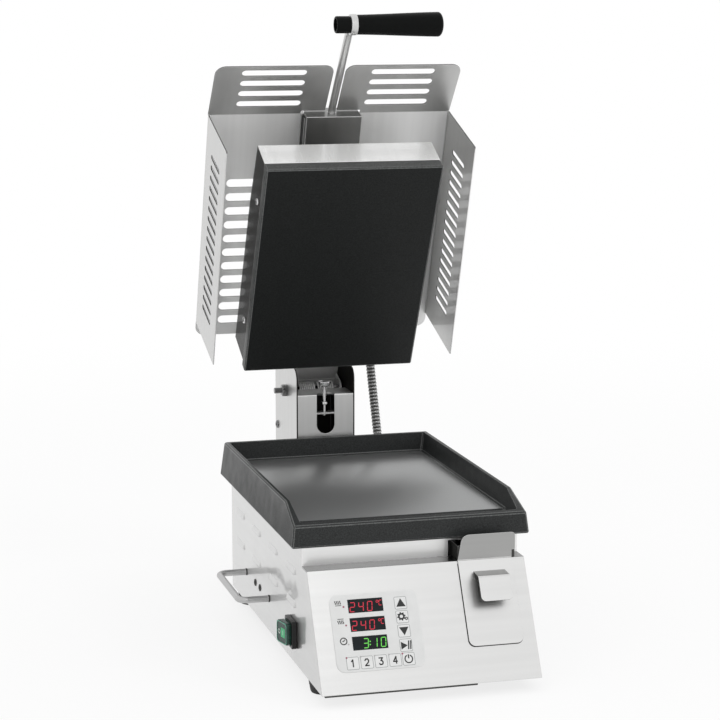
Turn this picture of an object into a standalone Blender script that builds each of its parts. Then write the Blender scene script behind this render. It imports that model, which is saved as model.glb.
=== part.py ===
"""Contact grill with an open lid, built from its separate pieces.

Metres, +Z up, front towards -Y. The origin lies on the resting plane, in the middle of the outline.
The lid and what it carries are modelled in the frame of the lid axle, the upper plate in the frame of
its swivel, and the control panel in the frame of its upper bend, each an empty that the pieces hang on.
"""
import math

import bmesh
import bpy
from mathutils import Matrix, Vector

# Clearances and shared sheet sizes
GAP = 0.0003
RUN_GAP = 0.0003
OVERRUN = 0.004
WALL = 0.0015
ARC_STEPS = 4
CURVE_STEPS = 24
SMOOTH_ANGLE = math.radians(35)
BEVEL_ANGLE = math.radians(40)

# Body and control panel
BODY_HALF = 0.161
FOOT_HEIGHT = 0.0182
PANEL_LEAN = math.radians(28.56)
PANEL_LENGTH = 0.1772
LEDGE_DEPTH = 0.0311
RISER = 0.0272
BODY_FLANGE = 0.006
TOP_OPEN_HALF = 0.138
TOP_OPEN_INSET = 0.070
FOOT_TOP_RADIUS = 0.0234
FOOT_TIP_RADIUS = 0.0202
FOOT_SIDE_INSET = 0.0235
FOOT_FRONT_INSET = 0.0775
FOOT_BACK_INSET = 0.045

# Louvres on both sides of the body
LOUVRE_LENGTH = 0.050
LOUVRE_HEIGHT = 0.006
LOUVRE_FIRST = 0.0968
LOUVRE_PITCH = 0.1142
LOUVRE_COLUMNS = 4
LOUVRE_LOW = 0.0865
LOUVRE_RISE = 0.0487

# Control foil, displays and display board
FOIL_THICKNESS = 0.0006
FOIL_INSET = 0.026
FOIL_WIDTH = 0.1285
FOIL_TOP = 0.037
FOIL_BOTTOM = 0.147
FOIL_CORNER = 0.012
DISPLAY_INSET = 0.0265
DISPLAY_WIDTH = 0.0503
DISPLAY_HEIGHT = 0.019
DISPLAY_TOP = 0.0447
DISPLAY_PITCH = 0.02655
DISPLAY_DEPTH = 0.008
DISPLAYS = ("display_upper", "display_middle", "display_lower")
BOARD_THICKNESS = 0.0016
BOARD_MARGIN = 0.012
STUD_RADIUS = 0.003

# Lower plate, a drafted tray
TRAY_SETBACK = 0.0226
TRAY_LENGTH = 0.4983
TRAY_FOOT_HALF = 0.1775
TRAY_RIM_HALF = 0.1712
TRAY_HEIGHT = 0.055
TRAY_BACK_DRAFT = 0.0066
TRAY_FRONT_DRAFT = 0.0035
TRAY_RIM = 0.0072
TRAY_FLOOR = 0.0236
TRAY_FLOOR_DRAFT = 0.0037
TRAY_LIP = 0.0319
TRAY_LIP_THICKNESS = 0.008
TRAY_SHOULDER = 0.0666
TRENCH_REAR = 0.0630
TRENCH_DEPTH = 0.0134
TRENCH_SLOPE = 0.009
TRAY_EDGE = 0.0022
RECESS_HEIGHT = 0.0105
RECESS_HALF = 0.150
RECESS_FRONT = 0.078
RECESS_BACK = 0.026
DRAIN_HALF = 0.011
DRAIN_BORE_SHARE = 0.7
DRAIN_SETBACK = 0.0345

# Heating elements, shields and probe
ELEMENT_RADIUS = 0.004
ELEMENT_RUNS = 6
ELEMENT_PITCH = 0.044
ELEMENT_END = 0.034
SHIELD_THICKNESS = 0.0012
PROBE_RADIUS = 0.003
PROBE_LENGTH = 0.080

# Grease drawer
DRAWER_INSET = 0.0195
DRAWER_WIDTH = 0.081
FLAP_EXTRA = 0.0052
FLAP_RISE = 0.0379
FLAP_NOTCH = 0.0119
FLAP_CORNER = 0.012
DRAWER_DROP = 0.125
DRAWER_CORNER = 0.010
DRAWER_LENGTH = 0.205
DRAWER_DEPTH = 0.0215
DRAWER_WALL = 0.0012
DRAWER_ROOM = 0.0045
DRAWER_HEADROOM = 0.0015
PULL_INSET = 0.0195
PULL_WIDTH = 0.0472
PULL_ROOT = 0.0315
PULL_TOP = 0.0186
PULL_BEND = 0.031
PULL_BOTTOM = 0.0667
PULL_REACH = 0.025
PULL_CORNER = 0.007
RAIL_FOOT = 0.010

# Power switch on the left side
SWITCH_SETBACK = 0.0844
SWITCH_Z = 0.0626
SWITCH_HALF_Y = 0.0232
SWITCH_HALF_Z = 0.0203
SWITCH_PROUD = 0.007
SWITCH_CORNER = 0.004
SWITCH_DEPTH = 0.024
CAP_HALF = 0.017
CAP_REACH = 0.013
CAP_WALL = 0.0012
CAP_TAPER = 0.0015
CAP_SEAT = 0.0012
ROCKER_HALF_Y = 0.0125
ROCKER_HALF_Z = 0.0105
ROCKER_RISE = 0.0045
ROCKER_ROOT = 0.0070
ROCKER_TILT = math.radians(7.0)
ROCKER_ROOM = 0.0012

# Carry handles
HANDLE_FRONT = 0.2413
HANDLE_SPAN = 0.1593
HANDLE_REACH = 0.045
HANDLE_RADIUS = 0.005
HANDLE_CORNER = 0.013
HANDLE_Z = 0.069

# Hinge post behind the tray
POST_DEPTH = 0.1513
POST_INNER_HALF = 0.047
POST_PLATE = 0.002
POST_HEAD = 0.0453
POST_FOOT_Z = 0.0305
POST_FRONT_CORNER = 0.019
POST_BACK_CORNER = 0.010
COVER_THICKNESS = 0.002
COVER_RISE = 0.0038
COVER_DEPTH = 0.050
COVER_DROP = 0.130
SLOT_HALF = 0.015
SLOT_BOTTOM = 0.0620
SLOT_ROUND_SHARE = 0.98
BACK_COVER_RISE = 0.012
MOUNT_LEG = 0.036
MOUNT_LOW = 0.060
MOUNT_HIGH = 0.182

# Lid axle, nut and balance springs
AXLE_SETBACK = 0.0708
AXLE_RISE = 0.1204
AXLE_RADIUS = 0.005
AXLE_HEAD_RADIUS = 0.009
AXLE_HEAD = 0.0055
AXLE_TAIL = 0.0205
NUT_RADIUS = 0.0105
NUT_LENGTH = 0.0085
SPRING_RADIUS = 0.0125
SPRING_LENGTH = 0.031
ROUND_STEPS = 20

# Height screw in the post's slot
SCREW_SETBACK = 0.0085
SCREW_RADIUS = 0.003
SCREW_TOP = 0.0236
DISH_RADIUS = 0.0105
DISH_HEIGHT = 0.0095
DISH_BOWL = 0.0025
DISH_MIDDLE_SHARE = 0.75
DISH_MIDDLE_DROP_SHARE = 0.6
DISH_BELLY_SHARE = 0.92
DISH_BELLY_DROP_SHARE = 0.45
DISH_FOOT_SHARE = 0.5
LOCK_NUT_RADIUS = 0.0055
LOCK_NUT_LENGTH = 0.005
LOCK_NUT_DROP = 0.0152
BRIDGE_DROP = 0.0272
BRIDGE_THICKNESS = 0.003
BRIDGE_DEPTH = 0.017
SCREW_TAIL = 0.004

# Lift arm, leaning forward in the rest pose
ARM_LEAN = math.radians(19.32)
ARM_HALF = 0.045
ARM_FACE = 0.0277
ARM_DEPTH = 0.038
ARM_WALL = 0.002
ARM_START = 0.003
ARM_END = 0.4764
BRACKET_THICKNESS = 0.003
BRACKET_RADIUS = 0.0135
BRACKET_ROUND_SHARE = 0.95
BRACKET_TOP = 0.070
BRACKET_BOTTOM = 0.020

# Splash guards, one bent sheet on each side of the arm
GUARD_HALF = 0.1974
GUARD_BACK = 0.0278
GUARD_TOP = 0.4725
GUARD_LENGTH = 0.3663
GUARD_DEPTH = 0.1487
GUARD_TAIL = 0.0247
GUARD_TAIL_CORNER = 0.015
GUARD_FLANGE = 0.020
GUARD_FLANGE_START = 0.160
SLIT_FRONT = 0.108
SLIT_BACK = 0.0445
SLIT_HEIGHT = 0.0075
SLIT_FIRST = 0.0520
SLIT_PITCH = 0.01743
SLIT_COUNT = 16
VENT_OUTER = 0.161
VENT_INNER = 0.060
VENT_HEIGHT = 0.014
VENT_FIRST = 0.1185
VENT_PITCH = 0.02448
VENT_COUNT = 11
FLAP_TURN = math.radians(22.28)
FLAP_LENGTH = 0.1027
FLAP_INNER = 0.0095
FLAP_OUTER_CORNER = 0.017
FLAP_INNER_CORNER = 0.015
FLAP_VENT_OUTER = 0.155
FLAP_VENT_INNER = 0.052
FLAP_VENT_HEIGHT = 0.0118
FLAP_VENT_FIRST = 0.0227
FLAP_VENT_PITCH = 0.0219
FLAP_VENT_COUNT = 4

# Handle rod with its eye, grip and end cap
ROD_RADIUS = 0.006
ROD_TURN = math.radians(21.7)
ROD_STEM = 0.030
ROD_BEND_RISE = 0.006
ROD_BEND_REACH = 0.005
ROD_LENGTH = 0.1575
ROD_NECK = 0.0292
EYE_TURN = math.radians(40.4)
EYE_RADIUS = 0.016
EYE_THICKNESS = 0.0105
ROD_TAPER_START_SHARE = 1.25
ROD_TAPER_END_SHARE = 0.8
SPINDLE_RADIUS = 0.005
GRIP_LENGTH = 0.1353
GRIP_ROOT_RADIUS = 0.015
GRIP_TIP_RADIUS = 0.019
GRIP_BORE_DEPTH = 0.110
GRIP_DOME_SHARE = 0.55
GRIP_EDGE_SHARE = 0.93
GRIP_EDGE_DROP_SHARE = 0.2
STUB_LENGTH = 0.0219
STUB_RADIUS = 0.013
STUB_BORE = 0.0095
STUB_FLOOR = 0.008
STUB_EDGE_SHARE = 0.94
STUB_EDGE_START_SHARE = 0.9

# Swivel between the arm and the upper plate
PIVOT_UP = 0.2803
PIVOT_FORWARD = 0.015
HEAD_TIP = math.radians(7.88)
PIN_RADIUS = 0.004
LUG_HALF = 0.020
LUG_THICKNESS = 0.004
LUG_RADIUS = 0.010
LUG_BASE_HALF = 0.030
LUG_BASE = 0.003
LUG_FOOT_SHARE = 1.4
EAR_BASE_HALF = 0.036

# Upper plate, its housing and what is inside it
PLATE_REACH = 0.1077
PLATE_HALF = 0.1401
PLATE_LENGTH = 0.380
PLATE_THICKNESS = 0.0195
PLATE_CORNER = 0.002
PLATE_RECESS = 0.0105
PLATE_RIM = 0.012
HEAD_HALF = 0.1392
HEAD_TOP_INSET = 0.0003
HEAD_BOTTOM_INSET = 0.0095
HEAD_DEPTH = 0.083
HEAD_KNEE_DEPTH = 0.0785
HEAD_END_DEPTH = 0.0725
HEAD_KNEE = 0.065
HEAD_CREST = 0.107
BLOCK_THICKNESS = 0.022
BLOCK_MARGIN = 0.012

# Metal hose from the body to the lift arm
HOSE_RADIUS = 0.0077
HOSE_GROOVE_RADIUS = 0.0066
HOSE_BORE_RADIUS = 0.0050
HOSE_PITCH = 0.0060
HOSE_SIDES = 8
HOSE_BORE_STEP = 4
GLAND_RADIUS = 0.0125
GLAND_LENGTH = 0.015
GLAND_FLANGE = 0.004
GLAND_BORE_RADIUS = 0.0082
GLAND_EDGE_SHARE = 0.9
GLAND_EDGE_START_SHARE = 0.85
HOSE_PLUNGE = 0.0155
HOSE_BODY_INSET = 0.043
HOSE_BODY_Z = 0.128
HOSE_ARM_BACK = 0.0405
HOSE_ARM_UP = 0.128
HOSE_MIDDLE = (
    (0.117, 0.288, 0.160),
    (0.1115, 0.297, 0.205),
    (0.1073, 0.296, 0.241),
    (0.1005, 0.2945, 0.300),
    (0.0941, 0.292, 0.355),
    (0.0900, 0.290, 0.400),
)
MAINS_INSET = 0.056
MAINS_Z = 0.060
MAINS_RADIUS = 0.011
MAINS_TIP_RADIUS = 0.007
MAINS_LENGTH = 0.024
MAINS_BORE_RADIUS = 0.0042
MAINS_TAPER_SHARE = 0.6

# Places that follow from the sizes above
BODY_BOTTOM = FOOT_HEIGHT + GAP
PANEL_RUN = PANEL_LENGTH * math.sin(PANEL_LEAN)
OVERALL_DEPTH = PANEL_RUN + TRAY_SETBACK + TRAY_LENGTH + GAP + POST_DEPTH
FRONT_Y = -OVERALL_DEPTH / 2
BEND_Y = FRONT_Y + PANEL_RUN
LEDGE_Z = BODY_BOTTOM + PANEL_LENGTH * math.cos(PANEL_LEAN)
RECESS_Y = BEND_Y + LEDGE_DEPTH
TRAY_Z = LEDGE_Z + RISER
TRAY_FRONT_Y = BEND_Y + TRAY_SETBACK
TRAY_BACK_Y = TRAY_FRONT_Y + TRAY_LENGTH
BODY_BACK_Y = TRAY_BACK_Y - 2 * TRAY_BACK_DRAFT
POST_FRONT_Y = TRAY_BACK_Y + GAP
BACK_Y = POST_FRONT_Y + POST_DEPTH
AXLE_Y = POST_FRONT_Y + AXLE_SETBACK
AXLE_Z = TRAY_Z + AXLE_RISE
POST_OUTER_HALF = POST_INNER_HALF + POST_PLATE
COVER_Z = AXLE_Z + COVER_RISE
GUARD_PLANE = ARM_FACE + GUARD_BACK
ARM_BACK = ARM_FACE + ARM_DEPTH
ARM_MIDDLE = ARM_FACE + ARM_DEPTH / 2
HEAD_BACK = HEAD_DEPTH - PLATE_REACH
FLAP_TOP_Z = LEDGE_Z + FLAP_RISE
FOIL_LEFT = FOIL_INSET - BODY_HALF
FOIL_RIGHT = FOIL_LEFT + FOIL_WIDTH
DISPLAY_LEFT = FOIL_LEFT + DISPLAY_INSET
DRAWER_RIGHT = BODY_HALF - DRAWER_INSET
DRAWER_LEFT = DRAWER_RIGHT - DRAWER_WIDTH
FLAP_RIGHT = DRAWER_RIGHT + FLAP_EXTRA
PULL_LEFT = DRAWER_LEFT + PULL_INSET
PULL_RIGHT = PULL_LEFT + PULL_WIDTH
DRAIN_X = (DRAWER_LEFT + DRAWER_RIGHT) / 2
HOSE_BODY_X = BODY_HALF - HOSE_BODY_INSET
MAINS_X = MAINS_INSET - BODY_HALF

# Colours as (red, green, blue), roughness and metallic share
STEEL = ((0.72, 0.72, 0.71), 0.32, 1.0)
BRIGHT_STEEL = ((0.80, 0.80, 0.80), 0.18, 1.0)
BLACK_ENAMEL = ((0.035, 0.037, 0.037), 0.42, 0.0)
DARK_STEEL = ((0.10, 0.10, 0.095), 0.45, 1.0)
BLACK_PLASTIC = ((0.012, 0.012, 0.012), 0.20, 0.0)
BLACK_RUBBER = ((0.02, 0.02, 0.02), 0.75, 0.0)
FOIL_GREY = ((0.74, 0.76, 0.76), 0.40, 0.0)
SMOKED_WINDOW = ((0.015, 0.02, 0.024), 0.15, 0.0)
GREEN_CAP = ((0.02, 0.16, 0.10), 0.15, 0.0)
BOARD_GREEN = ((0.03, 0.18, 0.07), 0.50, 0.0)
MINERAL_WOOL = ((0.62, 0.58, 0.48), 0.95, 0.0)
SPRING_STEEL = ((0.35, 0.36, 0.38), 0.35, 1.0)


def clear_scene():
    for obj in list(bpy.data.objects):
        bpy.data.objects.remove(obj, do_unlink=True)


def make_material(name, finish):
    colour, roughness, metallic = finish
    material = bpy.data.materials.new(name)
    material.use_nodes = True
    shader = material.node_tree.nodes["Principled BSDF"]
    shader.inputs["Base Color"].default_value = (*colour, 1.0)
    shader.inputs["Roughness"].default_value = roughness
    shader.inputs["Metallic"].default_value = metallic
    material.diffuse_color = (*colour, 1.0)
    return material


def add_frame(name, parent, location, turn):
    """An empty that carries a group of pieces, turned about its own X axis."""
    frame = bpy.data.objects.new(name, None)
    frame.location = location
    frame.rotation_euler = (turn, 0, 0)
    frame.parent = parent
    bpy.context.scene.collection.objects.link(frame)
    return frame


def add_piece(name, mesh_data, parent, finish, smooth=False):
    bmesh.ops.recalc_face_normals(mesh_data, faces=mesh_data.faces)
    mesh = bpy.data.meshes.new(name)
    mesh_data.to_mesh(mesh)
    mesh_data.free()
    if smooth:
        mesh.shade_smooth()
        mesh.set_sharp_from_angle(angle=SMOOTH_ANGLE)
    piece = bpy.data.objects.new(name, mesh)
    piece.parent = parent
    bpy.context.scene.collection.objects.link(piece)
    if finish:
        mesh.materials.append(make_material(name, finish))
    return piece


def add_tool(name, mesh_data, piece, operation):
    """A shape that cuts or joins its piece, and isn't a piece itself."""
    tool = add_piece(name, mesh_data, piece.parent, None)
    tool.location = piece.location
    tool.rotation_euler = piece.rotation_euler
    tool.hide_render = True
    tool.display_type = "WIRE"
    modifier = piece.modifiers.new(name, "BOOLEAN")
    modifier.object = tool
    modifier.operation = operation
    return tool


def cut(piece, name, mesh_data):
    return add_tool(name, mesh_data, piece, "DIFFERENCE")


def fuse(piece, name, mesh_data):
    return add_tool(name, mesh_data, piece, "UNION")


def soften(piece, width, segments=1):
    modifier = piece.modifiers.new("soften", "BEVEL")
    modifier.width = width
    modifier.segments = segments
    modifier.limit_method = "ANGLE"
    modifier.angle_limit = BEVEL_ANGLE
    return modifier


PLANES = {
    "YZ": lambda u, v, w: (w, u, v),
    "XZ": lambda u, v, w: (u, w, v),
    "XY": lambda u, v, w: (u, v, w),
}


def prism(mesh_data, plane, outline, low, high, place=None):
    """Extrude an outline in the named plane from low to high along the third axis."""
    put = PLANES[plane]
    rings = []
    for level in (low, high):
        points = [Vector(put(u, v, level)) for u, v in outline]
        if place is not None:
            points = [place @ point for point in points]
        rings.append([mesh_data.verts.new(point) for point in points])
    bottom, top = rings
    mesh_data.faces.new(bottom)
    mesh_data.faces.new(top)
    for index in range(len(outline)):
        after = (index + 1) % len(outline)
        mesh_data.faces.new((bottom[index], bottom[after], top[after], top[index]))


def drafted_prism(mesh_data, outline, half_at):
    """Extrude a YZ outline to both sides, as wide at each height as half_at gives."""
    sides = []
    for sign in (-1, 1):
        sides.append([mesh_data.verts.new((sign * half_at(z), y, z)) for y, z in outline])
    left, right = sides
    mesh_data.faces.new(left)
    mesh_data.faces.new(right)
    for index in range(len(outline)):
        after = (index + 1) % len(outline)
        mesh_data.faces.new((left[index], left[after], right[after], right[index]))


def block(mesh_data, x, y, z):
    prism(mesh_data, "XY", [(x[0], y[0]), (x[1], y[0]), (x[1], y[1]), (x[0], y[1])], z[0], z[1])


def rounded(corners, steps=ARC_STEPS):
    """The outline through corners (u, v, radius), with each corner turned into an arc."""
    outline = []
    for index, (u, v, radius) in enumerate(corners):
        if radius == 0:
            outline.append((u, v))
            continue
        corner = Vector((u, v))
        before = (Vector(corners[index - 1][:2]) - corner).normalized()
        after = (Vector(corners[(index + 1) % len(corners)][:2]) - corner).normalized()
        half = before.angle(after) / 2
        centre = corner + (before + after).normalized() * radius / math.sin(half)
        start = corner + before * radius / math.tan(half) - centre
        sign = -1 if before.cross(after) > 0 else 1
        for step in range(steps + 1):
            angle = sign * (math.pi - 2 * half) * step / steps
            outline.append((
                centre.x + start.x * math.cos(angle) - start.y * math.sin(angle),
                centre.y + start.x * math.sin(angle) + start.y * math.cos(angle),
            ))
    return outline


def rectangle(u, v, radius=0.0, steps=ARC_STEPS):
    corners = [(u[0], v[0], radius), (u[1], v[0], radius), (u[1], v[1], radius), (u[0], v[1], radius)]
    return rounded(corners, steps)


def sheet_outline(path, thickness):
    """The closed outline of a bent sheet whose one face follows path, with mitred bends."""
    points = [Vector(point) for point in path]
    normals = []
    for start, end in zip(points, points[1:]):
        run = (end - start).normalized()
        normals.append(Vector((-run.y, run.x)))
    offsets = [normals[0]]
    for first, second in zip(normals, normals[1:]):
        offsets.append((first + second) / (1 + first.dot(second)))
    offsets.append(normals[-1])
    other = [point + offset * thickness for point, offset in zip(points, offsets)]
    return [tuple(point) for point in points] + [tuple(point) for point in reversed(other)]


def turned(mesh_data, profile, axis, centre, steps=ROUND_STEPS, closed=False):
    """Turn a profile of (radius, along) about an axis; a closed profile makes a ring with a bore."""
    put = PLANES[{"X": "YZ", "Y": "XZ", "Z": "XY"}[axis]]
    rings = []
    for radius, along in profile:
        ring = []
        count = 1 if radius == 0 else steps
        for step in range(count):
            angle = 2 * math.pi * (step + 0.5) / steps
            point = Vector(put(radius * math.cos(angle), radius * math.sin(angle), along))
            ring.append(mesh_data.verts.new(point + Vector(centre)))
        rings.append(ring)
    pairs = list(zip(rings, rings[1:]))
    if closed:
        pairs.append((rings[-1], rings[0]))
    for first, second in pairs:
        for step in range(steps):
            after = (step + 1) % steps
            if len(first) == 1:
                mesh_data.faces.new((first[0], second[step], second[after]))
            elif len(second) == 1:
                mesh_data.faces.new((first[step], first[after], second[0]))
            else:
                mesh_data.faces.new((first[step], first[after], second[after], second[step]))
    if not closed:
        for ring in (rings[0], rings[-1]):
            if len(ring) > 1:
                mesh_data.faces.new(ring)


def sweep_rings(mesh_data, points, radii, sides):
    """Rings of vertices square to a path, carried along it without twist."""
    rings = []
    side = None
    for index, point in enumerate(points):
        run = (points[min(index + 1, len(points) - 1)] - points[max(index - 1, 0)]).normalized()
        if side is None:
            side = run.orthogonal().normalized()
        side = (side - run * side.dot(run)).normalized()
        across = run.cross(side)
        ring = []
        for step in range(sides):
            angle = 2 * math.pi * step / sides
            offset = side * math.cos(angle) + across * math.sin(angle)
            ring.append(mesh_data.verts.new(point + offset * radii[index]))
        rings.append(ring)
    return rings


def bridge_rings(mesh_data, first, second):
    for step in range(len(first)):
        after = (step + 1) % len(first)
        mesh_data.faces.new((first[step], first[after], second[after], second[step]))


def rod(mesh_data, points, radius, sides=12, taper=()):
    """A round bar along points; taper lists the radii of its last ones."""
    radii = [radius] * (len(points) - len(taper)) + list(taper)
    rings = sweep_rings(mesh_data, points, radii, sides)
    for first, second in zip(rings, rings[1:]):
        bridge_rings(mesh_data, first, second)
    mesh_data.faces.new(rings[0])
    mesh_data.faces.new(rings[-1])


def smooth_path(points, spacing):
    """Points at an even spacing along a smooth curve through the given ones."""
    fine = []
    for index in range(len(points) - 1):
        before = points[max(index - 1, 0)]
        start = points[index]
        end = points[index + 1]
        after = points[min(index + 2, len(points) - 1)]
        for step in range(CURVE_STEPS):
            t = step / CURVE_STEPS
            fine.append((
                2 * start
                + (end - before) * t
                + (2 * before - 5 * start + 4 * end - after) * t * t
                + (3 * start - before - 3 * end + after) * t * t * t
            ) / 2)
    fine.append(points[-1])
    lengths = [0.0]
    for first, second in zip(fine, fine[1:]):
        lengths.append(lengths[-1] + (second - first).length)
    count = max(2, round(lengths[-1] / spacing))
    even = []
    place = 0
    for step in range(count + 1):
        goal = lengths[-1] * step / count
        while place < len(fine) - 2 and lengths[place + 1] < goal:
            place += 1
        share = (goal - lengths[place]) / (lengths[place + 1] - lengths[place])
        even.append(fine[place].lerp(fine[place + 1], share))
    return even


def panel_point(down, out):
    """A (y, z) point on the control panel, down from its bend and out from its face."""
    y = BEND_Y - down * math.sin(PANEL_LEAN) - out * math.cos(PANEL_LEAN)
    z = LEDGE_Z - down * math.cos(PANEL_LEAN) + out * math.sin(PANEL_LEAN)
    return y, z


def build_body_shell():
    """Sides, back, riser and top flange in one folded sheet, open to the panel and below."""
    inset = (WALL + GAP) / math.cos(PANEL_LEAN)
    under_ledge = LEDGE_Z - WALL - GAP
    top = TRAY_Z - GAP
    slope = math.tan(PANEL_LEAN)
    outline = [
        (FRONT_Y + inset, BODY_BOTTOM),
        (FRONT_Y + inset + (under_ledge - BODY_BOTTOM) * slope, under_ledge),
        (RECESS_Y, under_ledge),
        (RECESS_Y, top),
        (BODY_BACK_Y, top),
        (BODY_BACK_Y, BODY_BOTTOM),
    ]
    shell = bmesh.new()
    prism(shell, "YZ", outline, -BODY_HALF, BODY_HALF)
    piece = add_piece("body_shell", shell, None, STEEL)

    hollow = bmesh.new()
    inside = [
        (FRONT_Y - OVERRUN, BODY_BOTTOM - OVERRUN),
        (FRONT_Y - OVERRUN, under_ledge + OVERRUN),
        (RECESS_Y - BODY_FLANGE, under_ledge + OVERRUN),
        (RECESS_Y - BODY_FLANGE, under_ledge - WALL),
        (RECESS_Y + WALL, under_ledge - WALL),
        (RECESS_Y + WALL, top - WALL),
        (BODY_BACK_Y - WALL, top - WALL),
        (BODY_BACK_Y - WALL, BODY_BOTTOM - OVERRUN),
    ]
    prism(hollow, "YZ", inside, WALL - BODY_HALF, BODY_HALF - WALL)
    cut(piece, "body_hollow", hollow)

    openings = bmesh.new()
    block(
        openings,
        (-TOP_OPEN_HALF, TOP_OPEN_HALF),
        (RECESS_Y + TOP_OPEN_INSET, BODY_BACK_Y - TOP_OPEN_INSET / 2),
        (top - WALL - OVERRUN, top + OVERRUN),
    )
    block(
        openings,
        (DRAIN_X - DRAIN_HALF, DRAIN_X + DRAIN_HALF),
        (TRAY_FRONT_Y + DRAIN_SETBACK - DRAIN_HALF, TRAY_FRONT_Y + DRAIN_SETBACK + DRAIN_HALF),
        (top - WALL - OVERRUN, top + OVERRUN),
    )
    block(
        openings,
        (DRAWER_LEFT - DRAWER_ROOM, FLAP_RIGHT + DRAWER_ROOM),
        (RECESS_Y - OVERRUN, RECESS_Y + WALL + OVERRUN),
        (LEDGE_Z - GAP, LEDGE_Z + DRAWER_DEPTH + DRAWER_HEADROOM),
    )
    for column in range(LOUVRE_COLUMNS):
        middle = BEND_Y + LOUVRE_FIRST + LOUVRE_PITCH * column
        for row in range(2):
            low = BODY_BOTTOM + LOUVRE_LOW + LOUVRE_RISE * row - LOUVRE_HEIGHT / 2
            block(
                openings,
                (-BODY_HALF - OVERRUN, BODY_HALF + OVERRUN),
                (middle - LOUVRE_LENGTH / 2, middle + LOUVRE_LENGTH / 2),
                (low, low + LOUVRE_HEIGHT),
            )
    switch_y = BEND_Y + SWITCH_SETBACK
    block(
        openings,
        (-BODY_HALF - OVERRUN, -BODY_HALF + WALL + OVERRUN),
        (switch_y - CAP_HALF - GAP, switch_y + CAP_HALF + GAP),
        (SWITCH_Z - CAP_HALF - GAP, SWITCH_Z + CAP_HALF + GAP),
    )
    cut(piece, "body_openings", openings)

    holes = bmesh.new()
    for x, z, radius in (
        (HOSE_BODY_X, HOSE_BODY_Z, GLAND_BORE_RADIUS + WALL),
        (MAINS_X, MAINS_Z, MAINS_TIP_RADIUS),
    ):
        profile = [(radius + GAP, -OVERRUN), (radius + GAP, WALL + OVERRUN)]
        turned(holes, profile, "Y", (x, BODY_BACK_Y - WALL, z))
    cut(piece, "body_holes", holes)


def build_bottom_plate():
    plate = bmesh.new()
    front = FRONT_Y + (WALL + 2 * GAP) / math.cos(PANEL_LEAN) + WALL * math.tan(PANEL_LEAN)
    half = BODY_HALF - WALL - GAP
    block(plate, (-half, half), (front, BODY_BACK_Y - WALL - GAP), (BODY_BOTTOM, BODY_BOTTOM + WALL))
    add_piece("bottom_plate", plate, None, STEEL)


def build_feet():
    x = BODY_HALF - FOOT_SIDE_INSET
    front = FRONT_Y + FOOT_FRONT_INSET
    back = BODY_BACK_Y - FOOT_BACK_INSET
    places = (
        ("foot_front_left", -x, front),
        ("foot_front_right", x, front),
        ("foot_back_left", -x, back),
        ("foot_back_right", x, back),
    )
    for name, foot_x, foot_y in places:
        foot = bmesh.new()
        profile = [(FOOT_TIP_RADIUS, 0), (FOOT_TOP_RADIUS, FOOT_HEIGHT)]
        turned(foot, profile, "Z", (foot_x, foot_y, 0))
        add_piece(name, foot, None, BLACK_RUBBER, smooth=True)


def build_control_panel(panel_frame):
    """Panel and ledge in one bent sheet, with display windows and studs for the board."""
    sheet = bmesh.new()
    path = [
        panel_point(PANEL_LENGTH, 0),
        (BEND_Y, LEDGE_Z),
        (RECESS_Y - GAP, LEDGE_Z),
    ]
    prism(sheet, "YZ", sheet_outline(path, -WALL), -BODY_HALF, BODY_HALF)
    piece = add_piece("control_panel", sheet, None, STEEL)

    windows = bmesh.new()
    for index in range(len(DISPLAYS)):
        top = -DISPLAY_TOP - DISPLAY_PITCH * index + GAP
        block(
            windows,
            (DISPLAY_LEFT - GAP, DISPLAY_LEFT + DISPLAY_WIDTH + GAP),
            (-OVERRUN, WALL + OVERRUN),
            (top - DISPLAY_HEIGHT - 2 * GAP, top),
        )
    tool = cut(piece, "panel_windows", windows)
    tool.parent = panel_frame

    studs = bmesh.new()
    left, right, top, bottom = board_sides()
    for x in (left + STUD_RADIUS, right - STUD_RADIUS):
        for z in (top - STUD_RADIUS, bottom + STUD_RADIUS):
            profile = [(STUD_RADIUS, WALL / 2), (STUD_RADIUS, DISPLAY_DEPTH)]
            turned(studs, profile, "Y", (x, 0, z), steps=8)
    tool = fuse(piece, "panel_studs", studs)
    tool.parent = panel_frame


def board_sides():
    """Left, right, top and bottom of the display board in the panel's frame."""
    left = DISPLAY_LEFT - BOARD_MARGIN
    right = DISPLAY_LEFT + DISPLAY_WIDTH + BOARD_MARGIN
    top = BOARD_MARGIN - DISPLAY_TOP
    bottom = -DISPLAY_TOP - DISPLAY_PITCH * (len(DISPLAYS) - 1) - DISPLAY_HEIGHT - BOARD_MARGIN
    return left, right, top, bottom


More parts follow.
